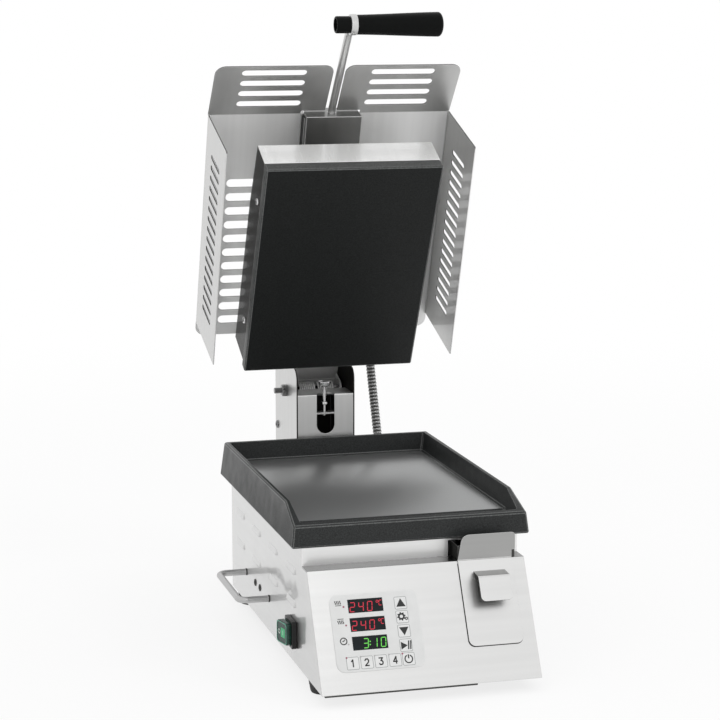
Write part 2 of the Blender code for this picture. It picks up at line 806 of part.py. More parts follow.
def build_controls(panel_frame):
    """The foil on the panel's face, the digit modules behind it and their board."""
    foil = bmesh.new()
    outline = rectangle((FOIL_LEFT, FOIL_RIGHT), (-FOIL_BOTTOM, -FOIL_TOP), FOIL_CORNER)
    prism(foil, "XZ", outline, -GAP - FOIL_THICKNESS, -GAP)
    piece = add_piece("control_foil", foil, panel_frame, FOIL_GREY)

    windows = bmesh.new()
    for index, name in enumerate(DISPLAYS):
        top = -DISPLAY_TOP - DISPLAY_PITCH * index
        block(
            windows,
            (DISPLAY_LEFT - GAP, DISPLAY_LEFT + DISPLAY_WIDTH + GAP),
            (-OVERRUN, OVERRUN),
            (top - DISPLAY_HEIGHT - GAP, top + GAP),
        )
        display = bmesh.new()
        block(
            display,
            (DISPLAY_LEFT, DISPLAY_LEFT + DISPLAY_WIDTH),
            (-GAP - FOIL_THICKNESS, DISPLAY_DEPTH),
            (top - DISPLAY_HEIGHT, top),
        )
        add_piece(name, display, panel_frame, SMOKED_WINDOW)
    cut(piece, "foil_windows", windows)

    board = bmesh.new()
    left, right, top, bottom = board_sides()
    block(
        board,
        (left, right),
        (DISPLAY_DEPTH + GAP, DISPLAY_DEPTH + GAP + BOARD_THICKNESS),
        (bottom, top),
    )
    add_piece("display_board", board, panel_frame, BOARD_GREEN)


def tray_half(z):
    share = (z - TRAY_Z) / TRAY_HEIGHT
    return TRAY_FOOT_HALF + (TRAY_RIM_HALF - TRAY_FOOT_HALF) * share


def tray_inner_half(z):
    rim = TRAY_RIM_HALF - TRAY_RIM
    share = (z - TRAY_Z - TRAY_HEIGHT) / (TRAY_HEIGHT - TRAY_FLOOR)
    return rim + TRAY_FLOOR_DRAFT * share


def build_lower_plate():
    """A drafted tray: high rim at the back and sides, sloping to a front lip, with a trench."""
    front = TRAY_FRONT_Y
    floor = TRAY_Z + TRAY_FLOOR
    rim = TRAY_Z + TRAY_HEIGHT
    lip = TRAY_Z + TRAY_LIP
    outline = [
        (front, TRAY_Z),
        (front + TRAY_FRONT_DRAFT, lip),
        (front + TRAY_SHOULDER, rim),
        (TRAY_BACK_Y - TRAY_BACK_DRAFT, rim),
        (TRAY_BACK_Y, TRAY_Z),
    ]
    tray = bmesh.new()
    drafted_prism(tray, outline, tray_half)
    piece = add_piece("lower_plate", tray, None, BLACK_ENAMEL)
    soften(piece, TRAY_EDGE)

    lip_inside = front + TRAY_FRONT_DRAFT + TRAY_LIP_THICKNESS
    trench = floor - TRENCH_DEPTH
    back_rim = TRAY_BACK_Y - TRAY_BACK_DRAFT - TRAY_RIM
    bowl = bmesh.new()
    inside = [
        (back_rim, floor),
        (front + TRENCH_REAR, floor),
        (front + TRENCH_REAR - TRENCH_SLOPE, trench),
        (lip_inside + TRENCH_SLOPE, trench),
        (lip_inside, lip),
        (lip_inside, rim + OVERRUN),
        (back_rim, rim + OVERRUN),
    ]
    drafted_prism(bowl, inside, tray_inner_half)
    tool = cut(piece, "tray_bowl", bowl)
    soften(tool, TRAY_EDGE)

    under = bmesh.new()
    block(
        under,
        (-RECESS_HALF, RECESS_HALF),
        (front + RECESS_FRONT, TRAY_BACK_Y - RECESS_BACK),
        (TRAY_Z - OVERRUN, TRAY_Z + RECESS_HEIGHT),
    )
    drain_y = front + DRAIN_SETBACK
    drain_half = DRAIN_HALF * DRAIN_BORE_SHARE
    block(
        under,
        (DRAIN_X - drain_half, DRAIN_X + drain_half),
        (drain_y - drain_half, drain_y + drain_half),
        (TRAY_Z - OVERRUN, floor + OVERRUN),
    )
    cut(piece, "tray_recess", under)


def serpentine(middle_y, half_length, level, put):
    """A flat tubular element: straight runs along the plate joined by half turns."""
    points = []
    turn = ELEMENT_PITCH / 2
    for run in range(ELEMENT_RUNS):
        x = ELEMENT_PITCH * (run - (ELEMENT_RUNS - 1) / 2)
        sign = 1 if run % 2 == 0 else -1
        points.append(put(x, middle_y - sign * (half_length - turn), level))
        points.append(put(x, middle_y + sign * (half_length - turn), level))
        if run == ELEMENT_RUNS - 1:
            continue
        for step in range(1, ARC_STEPS):
            angle = math.pi * step / ARC_STEPS
            along = sign * (half_length - turn + turn * math.sin(angle))
            points.append(put(x + turn - turn * math.cos(angle), middle_y + along, level))
    return points


def build_lower_heater():
    half = RECESS_HALF - GAP
    front = TRAY_FRONT_Y + RECESS_FRONT + GAP
    back = TRAY_BACK_Y - RECESS_BACK - GAP
    ceiling = TRAY_Z + RECESS_HEIGHT
    level = ceiling - GAP - ELEMENT_RADIUS
    middle = (front + back) / 2
    points = serpentine(middle, (back - front) / 2 - ELEMENT_END, level, lambda x, y, z: Vector((x, y, z)))
    element = bmesh.new()
    rod(element, points, ELEMENT_RADIUS, sides=8)
    add_piece("lower_element", element, None, DARK_STEEL, smooth=True)

    shield = bmesh.new()
    shield_top = level - ELEMENT_RADIUS - GAP
    block(shield, (-half, half), (front, back), (shield_top - SHIELD_THICKNESS, shield_top))
    add_piece("heat_shield", shield, None, STEEL)

    probe = bmesh.new()
    profile = [(PROBE_RADIUS, 0), (PROBE_RADIUS, PROBE_LENGTH)]
    turned(probe, profile, "Y", (0, middle - PROBE_LENGTH / 2, ceiling - GAP - PROBE_RADIUS), steps=10)
    add_piece("temperature_probe", probe, None, BRIGHT_STEEL, smooth=True)


def build_drawer(drawer_frame):
    """Grease tray, overlay front with a standing flap, and the bent pull."""
    box_top = LEDGE_Z + GAP + DRAWER_DEPTH
    back = BEND_Y + GAP + DRAWER_LENGTH
    origin = drawer_frame.location
    tray = bmesh.new()
    block(tray, (DRAWER_LEFT, FLAP_RIGHT), (BEND_Y + GAP, back), (LEDGE_Z + GAP, box_top))
    piece = add_piece("drawer_tray", tray, drawer_frame, STEEL)
    hollow = bmesh.new()
    block(
        hollow,
        (DRAWER_LEFT + DRAWER_WALL, FLAP_RIGHT - DRAWER_WALL),
        (BEND_Y + GAP + DRAWER_WALL, back - DRAWER_WALL),
        (LEDGE_Z + GAP + DRAWER_WALL, box_top + OVERRUN),
    )
    tool = cut(piece, "drawer_hollow", hollow)
    piece.location = -origin
    tool.location = -origin

    front = bmesh.new()
    outline = sheet_outline(
        [
            panel_point(DRAWER_DROP, GAP),
            (BEND_Y, LEDGE_Z + GAP / math.sin(PANEL_LEAN)),
            (BEND_Y, FLAP_TOP_Z),
        ],
        WALL,
    )
    prism(front, "YZ", outline, DRAWER_LEFT, FLAP_RIGHT)
    piece = add_piece("drawer_front", front, drawer_frame, STEEL)
    notch = bmesh.new()
    notch_z = LEDGE_Z + FLAP_NOTCH
    block(
        notch,
        (DRAWER_RIGHT, FLAP_RIGHT + OVERRUN),
        (FRONT_Y - OVERRUN, BEND_Y + OVERRUN),
        (BODY_BOTTOM, notch_z),
    )
    tool = cut(piece, "drawer_front_notch", notch)
    tool.location = -origin
    corners = bmesh.new()
    low_y, low_z = panel_point(DRAWER_DROP, 0)
    for x, z, across, up, radius in (
        (DRAWER_LEFT, low_z, 1, 1, DRAWER_CORNER),
        (DRAWER_RIGHT, low_z, -1, 1, DRAWER_CORNER),
        (DRAWER_LEFT, FLAP_TOP_Z, 1, -1, FLAP_CORNER),
        (FLAP_RIGHT, FLAP_TOP_Z, -1, -1, FLAP_CORNER / 2),
    ):
        outline = corner_cut(x, z, across, up, radius)
        prism(corners, "XZ", outline, FRONT_Y - OVERRUN, BEND_Y + OVERRUN)
    tool = cut(piece, "drawer_front_corners", corners)
    piece.location = -origin
    tool.location = -origin

    pull = bmesh.new()
    root = GAP + WALL + GAP + WALL
    outline = sheet_outline(
        [
            panel_point(PULL_ROOT, root),
            panel_point(PULL_TOP, root),
            panel_point(PULL_BEND, PULL_REACH - WALL),
            panel_point(PULL_BOTTOM, PULL_REACH - WALL),
        ],
        -WALL,
    )
    prism(pull, "YZ", outline, PULL_LEFT, PULL_RIGHT)
    piece = add_piece("drawer_pull", pull, drawer_frame, STEEL)
    corners = bmesh.new()
    low_y, low_z = panel_point(PULL_BOTTOM, PULL_REACH)
    for x, across in ((PULL_LEFT, 1), (PULL_RIGHT, -1)):
        outline = corner_cut(x, low_z, across, 1, PULL_CORNER)
        prism(corners, "XZ", outline, low_y - PULL_REACH, low_y + PULL_REACH / 2)
    tool = cut(piece, "drawer_pull_corners", corners)
    piece.location = -origin
    tool.location = -origin


def corner_cut(u, v, across, up, radius):
    """The outline that rounds off the corner at (u, v) of a piece lying towards across and up."""
    outline = [(u - across * OVERRUN, v - up * OVERRUN), (u + across * radius, v - up * OVERRUN)]
    for step in range(ARC_STEPS + 1):
        angle = math.pi / 2 * step / ARC_STEPS
        outline.append((
            u + across * radius * (1 - math.sin(angle)),
            v + up * radius * (1 - math.cos(angle)),
        ))
    outline.append((u - across * OVERRUN, v + up * radius))
    return outline


def build_drawer_rails():
    """Two angles under the top flange that carry the drawer at the ledge's level."""
    start = RECESS_Y + WALL + GAP
    end = BEND_Y + GAP + DRAWER_LENGTH
    top = TRAY_Z - GAP - WALL - GAP
    foot = LEDGE_Z
    for name, x, across in (
        ("drawer_rail_left", DRAWER_LEFT - RUN_GAP, 1),
        ("drawer_rail_right", FLAP_RIGHT + RUN_GAP, -1),
    ):
        rail = bmesh.new()
        path = [(x, top), (x, foot), (x + across * RAIL_FOOT, foot)]
        prism(rail, "XZ", sheet_outline(path, -across * DRAWER_WALL), start, end)
        add_piece(name, rail, None, STEEL)


def build_switch():
    """Bezel and housing, the lit rocker on its upright axis, and the clear splash cap."""
    face = -BODY_HALF - GAP
    y = BEND_Y + SWITCH_SETBACK
    bezel = bmesh.new()
    outline = rectangle(
        (y - SWITCH_HALF_Y, y + SWITCH_HALF_Y),
        (SWITCH_Z - SWITCH_HALF_Z, SWITCH_Z + SWITCH_HALF_Z),
        SWITCH_CORNER,
    )
    prism(bezel, "YZ", outline, face - SWITCH_PROUD, face)
    piece = add_piece("switch_bezel", bezel, None, BLACK_PLASTIC)
    body = bmesh.new()
    block(
        body,
        (face - SWITCH_PROUD / 2, face + SWITCH_DEPTH),
        (y - CAP_HALF, y + CAP_HALF),
        (SWITCH_Z - CAP_HALF, SWITCH_Z + CAP_HALF),
    )
    fuse(piece, "switch_body", body)
    well = bmesh.new()
    block(
        well,
        (face - SWITCH_PROUD - OVERRUN, face - SWITCH_PROUD + ROCKER_ROOT + ROCKER_ROOM),
        (y - ROCKER_HALF_Y - ROCKER_ROOM, y + ROCKER_HALF_Y + ROCKER_ROOM),
        (SWITCH_Z - ROCKER_HALF_Z - RUN_GAP, SWITCH_Z + ROCKER_HALF_Z + RUN_GAP),
    )
    cut(piece, "switch_well", well)

    base = face - SWITCH_PROUD - GAP
    cap = bmesh.new()
    cap_shape(cap, base, y, CAP_HALF, CAP_REACH)
    piece = add_piece("switch_cap", cap, None, GREEN_CAP)
    inside = bmesh.new()
    cap_shape(inside, base + OVERRUN, y, CAP_HALF - CAP_WALL, CAP_REACH - CAP_WALL + OVERRUN)
    cut(piece, "cap_hollow", inside)

    pivot = add_frame("rocker_pivot", None, (face - SWITCH_PROUD, y, SWITCH_Z), 0)
    pivot.rotation_euler = (0, 0, ROCKER_TILT)
    rocker = bmesh.new()
    outline = [
        (ROCKER_ROOT, -ROCKER_HALF_Y / 2),
        (ROCKER_ROOT, ROCKER_HALF_Y / 2),
        (0, ROCKER_HALF_Y),
        (-ROCKER_RISE, ROCKER_HALF_Y),
        (-ROCKER_RISE / 2, 0),
        (-ROCKER_RISE, -ROCKER_HALF_Y),
        (0, -ROCKER_HALF_Y),
    ]
    prism(rocker, "XY", outline, -ROCKER_HALF_Z, ROCKER_HALF_Z)
    add_piece("power_rocker", rocker, pivot, GREEN_CAP)


def cap_shape(mesh_data, base, y, half, reach):
    """A square cap narrowing towards its face."""
    rings = []
    for x, size in ((base, half), (base - reach, half - CAP_TAPER)):
        outline = rectangle((y - size, y + size), (SWITCH_Z - size, SWITCH_Z + size), SWITCH_CORNER)
        rings.append([mesh_data.verts.new((x, u, v)) for u, v in outline])
    bridge_rings(mesh_data, rings[0], rings[1])
    mesh_data.faces.new(rings[0])
    mesh_data.faces.new(rings[1])


def build_carry_handles():
    front = BEND_Y + HANDLE_FRONT
    back = front + HANDLE_SPAN
    for name, sign in (("handle_left", -1), ("handle_right", 1)):
        inner = sign * (BODY_HALF + GAP)
        outer = sign * (BODY_HALF + GAP + HANDLE_REACH)
        corners = [(inner, front, 0), (outer, front, HANDLE_CORNER), (outer, back, HANDLE_CORNER)]
        corners.append((inner, back, 0))
        points = [Vector((x, y, HANDLE_Z)) for x, y in rounded(corners)]
        bar = bmesh.new()
        rod(bar, points, HANDLE_RADIUS)
        add_piece(name, bar, None, BRIGHT_STEEL, smooth=True)


def build_post():
    """Two side plates bolted behind the body, with a front cover, a back cover and a mount."""
    top = AXLE_Z + POST_HEAD
    outline = rounded([
        (POST_FRONT_Y, POST_FOOT_Z, 0),
        (BACK_Y, POST_FOOT_Z, 0),
        (BACK_Y, top, POST_BACK_CORNER),
        (POST_FRONT_Y, top, POST_FRONT_CORNER),
    ])
    for name, low in (("post_plate_left", -POST_OUTER_HALF), ("post_plate_right", POST_INNER_HALF)):
        plate = bmesh.new()
        prism(plate, "YZ", outline, low, low + POST_PLATE)
        piece = add_piece(name, plate, None, STEEL)
        hole = bmesh.new()
        profile = [(AXLE_RADIUS + GAP, -OVERRUN), (AXLE_RADIUS + GAP, POST_PLATE + OVERRUN)]
        turned(hole, profile, "X", (low, AXLE_Y, AXLE_Z))
        cut(piece, name + "_hole", hole)

    half = POST_INNER_HALF - GAP
    cover = bmesh.new()
    path = [
        (POST_FRONT_Y, COVER_Z - COVER_DROP),
        (POST_FRONT_Y, COVER_Z),
        (POST_FRONT_Y + COVER_DEPTH, COVER_Z),
    ]
    prism(cover, "YZ", sheet_outline(path, -COVER_THICKNESS), -half, half)
    piece = add_piece("post_cover", cover, None, STEEL)
    slot = bmesh.new()
    slot_low = AXLE_Z - SLOT_BOTTOM
    outline = rounded([
        (-SLOT_HALF, COVER_Z + OVERRUN, 0),
        (-SLOT_HALF, slot_low, SLOT_HALF * SLOT_ROUND_SHARE),
        (SLOT_HALF, slot_low, SLOT_HALF * SLOT_ROUND_SHARE),
        (SLOT_HALF, COVER_Z + OVERRUN, 0),
    ])
    prism(slot, "XZ", outline, POST_FRONT_Y - OVERRUN, POST_FRONT_Y + COVER_THICKNESS + OVERRUN)
    cut(piece, "cover_slot", slot)
    notch = bmesh.new()
    profile = [(SLOT_HALF, -COVER_THICKNESS - OVERRUN), (SLOT_HALF, OVERRUN)]
    turned(notch, profile, "Z", (0, POST_FRONT_Y, COVER_Z))
    cut(piece, "cover_notch", notch)

    back = bmesh.new()
    block(
        back,
        (-half, half),
        (BACK_Y - COVER_THICKNESS, BACK_Y),
        (POST_FOOT_Z, AXLE_Z + BACK_COVER_RISE),
    )
    add_piece("post_back_cover", back, None, STEEL)

    mount = bmesh.new()
    start = BODY_BACK_Y + GAP
    path = [(-half, start + MOUNT_LEG), (-half, start), (half, start), (half, start + MOUNT_LEG)]
    prism(mount, "XY", sheet_outline(path, COVER_THICKNESS), MOUNT_LOW, MOUNT_HIGH)
    add_piece("post_mount", mount, None, STEEL)


def build_axle():
    """The lid axle with its head outside the right plate, the nut outside the left one."""
    outside = POST_OUTER_HALF + GAP
    axle = bmesh.new()
    profile = [
        (AXLE_RADIUS, -outside - AXLE_TAIL),
        (AXLE_RADIUS, outside),
        (AXLE_HEAD_RADIUS, outside),
        (AXLE_HEAD_RADIUS, outside + AXLE_HEAD),
    ]
    turned(axle, profile, "X", (0, AXLE_Y, AXLE_Z))
    add_piece("lid_axle", axle, None, BRIGHT_STEEL, smooth=True)

    bore = AXLE_RADIUS + GAP
    nut = bmesh.new()
    ring(nut, bore, NUT_RADIUS, -outside - NUT_LENGTH, -outside, "X", (0, AXLE_Y, AXLE_Z), 12)
    add_piece("axle_nut", nut, None, BRIGHT_STEEL)

    for name, low in (
        ("balance_spring_left", -SPRING_LENGTH - GAP),
        ("balance_spring_right", GAP),
    ):
        spring = bmesh.new()
        ring(spring, bore, SPRING_RADIUS, low, low + SPRING_LENGTH, "X", (0, AXLE_Y, AXLE_Z), 16)
        add_piece(name, spring, None, SPRING_STEEL, smooth=True)


def ring(mesh_data, inner, outer, low, high, axis, centre, steps):
    profile = [(inner, low), (inner, high), (outer, high), (outer, low)]
    turned(mesh_data, profile, axis, centre, steps, closed=True)


def build_height_screw():
    """A screw with a dished head, standing in the cover's slot and held by a bridge."""
    y = POST_FRONT_Y + SCREW_SETBACK
    top = AXLE_Z + SCREW_TOP
    lock = AXLE_Z - LOCK_NUT_DROP
    bridge = AXLE_Z - BRIDGE_DROP
    profile = [
        (0, top - DISH_BOWL),
        (DISH_RADIUS * DISH_MIDDLE_SHARE, top - DISH_BOWL * DISH_MIDDLE_DROP_SHARE),
        (DISH_RADIUS, top),
        (DISH_RADIUS * DISH_BELLY_SHARE, top - DISH_HEIGHT * DISH_BELLY_DROP_SHARE),
        (DISH_RADIUS * DISH_FOOT_SHARE, top - DISH_HEIGHT),
        (SCREW_RADIUS, top - DISH_HEIGHT),
        (SCREW_RADIUS, lock + LOCK_NUT_LENGTH),
        (LOCK_NUT_RADIUS, lock + LOCK_NUT_LENGTH),
        (LOCK_NUT_RADIUS, lock),
        (SCREW_RADIUS, lock),
        (SCREW_RADIUS, bridge - BRIDGE_THICKNESS - SCREW_TAIL),
        (0, bridge - BRIDGE_THICKNESS - SCREW_TAIL),
    ]
    screw = bmesh.new()
    turned(screw, [(radius, z - top) for radius, z in profile], "Z", (0, 0, 0), steps=16)
    piece = add_piece("height_screw", screw, None, BRIGHT_STEEL, smooth=True)
    piece.location = (0, y, top)

    bar = bmesh.new()
    half = POST_INNER_HALF - GAP
    start = POST_FRONT_Y + COVER_THICKNESS + GAP
    block(bar, (-half, half), (start, start + BRIDGE_DEPTH), (bridge - BRIDGE_THICKNESS, bridge))
    piece = add_piece("screw_bridge", bar, None, STEEL)
    hole = bmesh.new()
    radius = SCREW_RADIUS + RUN_GAP
    profile = [(radius, -BRIDGE_THICKNESS - OVERRUN), (radius, OVERRUN)]
    turned(hole, profile, "Z", (0, y, bridge), steps=16)
    cut(piece, "bridge_hole", hole)


def build_arm(arm_frame):
    """The lift arm, a box section closed at its upper end, and the bracket in its lower end."""
    arm = bmesh.new()
    block(arm, (-ARM_HALF, ARM_HALF), (ARM_FACE, ARM_BACK), (ARM_START, ARM_END))
    piece = add_piece("lift_arm", arm, arm_frame, STEEL)
    hollow = bmesh.new()
    inner = ARM_HALF - ARM_WALL
    block(
        hollow,
        (-inner, inner),
        (ARM_FACE + ARM_WALL, ARM_BACK - ARM_WALL),
        (ARM_START - OVERRUN, ARM_END - ARM_WALL),
    )
    cut(piece, "arm_hollow", hollow)
    holes = bmesh.new()
    bore = ROD_RADIUS + GAP
    profile = [(bore, -ARM_WALL - OVERRUN), (bore, OVERRUN)]
    turned(holes, profile, "Z", (0, ARM_MIDDLE, ARM_END))
    cut(piece, "arm_rod_hole", holes)

    side = inner - GAP
    deep = ARM_BACK - ARM_WALL - GAP
    face = ARM_FACE + ARM_WALL + GAP
    low = -BRACKET_BOTTOM
    cheek = rounded([
        (-BRACKET_RADIUS, -BRACKET_RADIUS, BRACKET_RADIUS * BRACKET_ROUND_SHARE),
        (ARM_FACE, low, 0),
        (deep, low, BRACKET_RADIUS / 2),
        (deep, BRACKET_TOP, 0),
        (face, BRACKET_TOP, 0),
        (face, ARM_START - GAP, 0),
        (ARM_FACE - BRACKET_THICKNESS, ARM_START - GAP, 0),
        (ARM_FACE - BRACKET_THICKNESS, BRACKET_RADIUS, 0),
        (-BRACKET_RADIUS, BRACKET_RADIUS, BRACKET_RADIUS * BRACKET_ROUND_SHARE),
    ])
    bracket = bmesh.new()
    prism(bracket, "YZ", cheek, -side, side)
    piece = add_piece("hinge_bracket", bracket, arm_frame, DARK_STEEL)
    inside = bmesh.new()
    web_inside = ARM_FACE + ARM_WALL
    outline = [
        (-BRACKET_RADIUS - OVERRUN, low - OVERRUN),
        (web_inside - BRACKET_THICKNESS, low - OVERRUN),
        (web_inside - BRACKET_THICKNESS, BRACKET_RADIUS + OVERRUN),
        (-BRACKET_RADIUS - OVERRUN, BRACKET_RADIUS + OVERRUN),
    ]
    core = side - BRACKET_THICKNESS
    prism(inside, "YZ", outline, -core, core)
    block(inside, (-core, core), (web_inside + GAP, deep + OVERRUN), (low - OVERRUN, BRACKET_TOP + OVERRUN))
    cut(piece, "bracket_inside", inside)
    bores = bmesh.new()
    profile = [(AXLE_RADIUS + RUN_GAP, -side - OVERRUN), (AXLE_RADIUS + RUN_GAP, side + OVERRUN)]
    turned(bores, profile, "X", (0, 0, 0))
    cut(piece, "bracket_bores", bores)


def round_ended(u, v):
    """A slot outline with round ends, long in u."""
    half = (v[1] - v[0]) / 2
    middle = (v[0] + v[1]) / 2
    outline = []
    for centre, start in ((u[1] - half, -math.pi / 2), (u[0] + half, math.pi / 2)):
        for step in range(ARC_STEPS + 1):
            angle = start + math.pi * step / ARC_STEPS
            outline.append((centre + half * math.cos(angle), middle + half * math.sin(angle)))
    return outline


def build_guard(name, sign, arm_frame):
    """A splash guard: back sheet, side sheet, flange on the arm and a flap bent forward."""
    plane = GUARD_PLANE
    flange = ARM_HALF + GAP
    path = [
        (sign * flange, plane - GUARD_FLANGE),
        (sign * flange, plane),
        (sign * GUARD_HALF, plane),
        (sign * GUARD_HALF, plane - GUARD_DEPTH),
    ]
    outline = sheet_outline(path, -sign * WALL)
    foot = GUARD_TOP - GUARD_LENGTH - GUARD_TAIL
    sheet = bmesh.new()
    prism(sheet, "XY", outline, foot, GUARD_TOP)
    piece = add_piece(name, sheet, arm_frame, STEEL)

    fold = Matrix.Translation((0, plane, GUARD_TOP)) @ Matrix.Rotation(FLAP_TURN, 4, "X")
    low = -WALL / 2
    clear = WALL + GAP + (ARM_END - GUARD_TOP) / math.cos(FLAP_TURN)
    outline = rounded([
        (sign * (flange + WALL), low, 0),
        (sign * GUARD_HALF, low, 0),
        (sign * GUARD_HALF, FLAP_LENGTH, FLAP_OUTER_CORNER),
        (sign * FLAP_INNER, FLAP_LENGTH, FLAP_INNER_CORNER),
        (sign * FLAP_INNER, clear, 0),
        (sign * (flange + WALL), clear, 0),
    ])
    flap = bmesh.new()
    prism(flap, "XZ", outline, -WALL, 0, fold)
    fuse(piece, name + "_flap", flap)

    cuts = bmesh.new()
    side_x = sorted((sign * (GUARD_HALF - WALL - OVERRUN), sign * (GUARD_HALF + OVERRUN)))
    block(
        cuts,
        side_x,
        (plane - GUARD_DEPTH - OVERRUN, plane - WALL),
        (foot - OVERRUN, foot + GUARD_TAIL),
    )
    block(
        cuts,
        sorted((sign * (flange - OVERRUN), sign * (flange + WALL + OVERRUN))),
        (plane - GUARD_FLANGE - OVERRUN, plane - WALL),
        (foot - OVERRUN, GUARD_FLANGE_START),
    )
    corner = corner_cut(sign * GUARD_HALF, foot, -sign, 1, GUARD_TAIL_CORNER)
    prism(cuts, "XZ", corner, plane - WALL / 2, plane + OVERRUN)
    cut(piece, name + "_tail", cuts)

    tail = bmesh.new()
    prism(tail, "XZ", corner, plane - WALL - OVERRUN, plane - WALL / 4)
    cut(piece, name + "_tail_corner", tail)

    vents = bmesh.new()
    for index in range(VENT_COUNT):
        middle = GUARD_TOP - VENT_FIRST - VENT_PITCH * index
        across = sorted((sign * VENT_INNER, sign * VENT_OUTER))
        outline = round_ended(across, (middle - VENT_HEIGHT / 2, middle + VENT_HEIGHT / 2))
        prism(vents, "XZ", outline, plane - WALL - OVERRUN, plane + OVERRUN)
    for index in range(SLIT_COUNT):
        middle = GUARD_TOP - SLIT_FIRST - SLIT_PITCH * index
        block(
            vents,
            side_x,
            (plane - SLIT_FRONT, plane - SLIT_BACK),
            (middle - SLIT_HEIGHT / 2, middle + SLIT_HEIGHT / 2),
        )
    for index in range(FLAP_VENT_COUNT):
        middle = FLAP_VENT_FIRST + FLAP_VENT_PITCH * index
        across = sorted((sign * FLAP_VENT_INNER, sign * FLAP_VENT_OUTER))
        outline = round_ended(across, (middle - FLAP_VENT_HEIGHT / 2, middle + FLAP_VENT_HEIGHT / 2))
        prism(vents, "XZ", outline, -WALL - OVERRUN, OVERRUN, fold)
    cut(piece, name + "_vents", vents)


def rod_points():
    """The handle rod's centreline in the arm's frame, ending at the eye's centre."""
    start = Vector((0, ARM_MIDDLE, ARM_END - ROD_STEM))
    bend = Vector((0, ARM_MIDDLE, ARM_END + ROD_BEND_RISE))
    lean = Vector((0, -math.sin(ROD_TURN), math.cos(ROD_TURN)))
    neck = bend + lean * ROD_LENGTH
    tip = Vector((0, -math.sin(EYE_TURN), math.cos(EYE_TURN)))
    eye = neck + tip * ROD_NECK
    below = bend - Vector((0, 0, ROD_BEND_REACH))
    above = bend + lean * ROD_BEND_REACH
    return [start, below, above, neck, eye]


def build_handle(arm_frame):
    """The bent rod with its eye, the spindle through it, the grip and the hollow end cap."""
    points = rod_points()
    eye = points[-1]
    away = (points[-2] - eye).normalized() * EYE_RADIUS
    slim = EYE_THICKNESS / 2 - 2 * GAP
    bar = bmesh.new()
    points[-1:] = [eye + away * ROD_TAPER_START_SHARE, eye + away * ROD_TAPER_END_SHARE]
    rod(bar, points, ROD_RADIUS, taper=(slim, slim))
    piece = add_piece("handle_rod", bar, arm_frame, BRIGHT_STEEL, smooth=True)
    loop = bmesh.new()
    half = EYE_THICKNESS / 2
    profile = [(EYE_RADIUS, -half), (EYE_RADIUS, half)]
    turned(loop, profile, "X", eye)
    fuse(piece, "rod_eye", loop)
    bore = bmesh.new()
    profile = [(SPINDLE_RADIUS + GAP, -half - OVERRUN), (SPINDLE_RADIUS + GAP, half + OVERRUN)]
    turned(bore, profile, "X", eye, steps=12)
    cut(piece, "rod_eye_bore", bore)

    spindle = bmesh.new()
    reach = half + GAP + GRIP_BORE_DEPTH - GAP
    stub_end = half + GAP + STUB_FLOOR
    profile = [(SPINDLE_RADIUS, -stub_end), (SPINDLE_RADIUS, reach)]
    turned(spindle, profile, "X", eye, steps=12)
    add_piece("grip_spindle", spindle, arm_frame, BRIGHT_STEEL, smooth=True)

    grip = bmesh.new()
    root = half + GAP
    tip = root + GRIP_LENGTH
    dome = GRIP_TIP_RADIUS * GRIP_DOME_SHARE
    profile = [
        (SPINDLE_RADIUS + GAP, root),
        (GRIP_ROOT_RADIUS * GRIP_EDGE_SHARE, root),
        (GRIP_ROOT_RADIUS, root + dome * GRIP_EDGE_DROP_SHARE),
        (GRIP_TIP_RADIUS, tip - dome),
    ]
    for step in range(1, ARC_STEPS):
        angle = math.pi / 2 * step / ARC_STEPS
        profile.append((GRIP_TIP_RADIUS * math.cos(angle), tip - dome + dome * math.sin(angle)))
    profile += [(0, tip)]
    turned(grip, profile, "X", eye)
    sink_bore(grip, GRIP_BORE_DEPTH)
    add_piece("grip", grip, arm_frame, BLACK_PLASTIC, smooth=True)

    stub = bmesh.new()
    start = -half - GAP
    profile = [
        (SPINDLE_RADIUS + GAP, start),
        (SPINDLE_RADIUS + GAP, start - STUB_FLOOR),
        (STUB_BORE, start - STUB_FLOOR),
        (STUB_BORE, start - STUB_LENGTH),
        (STUB_RADIUS * STUB_EDGE_SHARE, start - STUB_LENGTH),
        (STUB_RADIUS, start - STUB_LENGTH * STUB_EDGE_START_SHARE),
        (STUB_RADIUS, start),
    ]
    turned(stub, profile, "X", eye, closed=True)
    add_piece("grip_end_cap", stub, arm_frame, BLACK_PLASTIC, smooth=True)


def sink_bore(mesh_data, depth):
    """Sink a blind bore along X from the many-sided face that the profile starts with."""
    start = max(mesh_data.faces, key=lambda face: len(face.verts))
    made = bmesh.ops.extrude_discrete_faces(mesh_data, faces=[start])
    bmesh.ops.translate(mesh_data, vec=(depth, 0, 0), verts=made["faces"][0].verts)


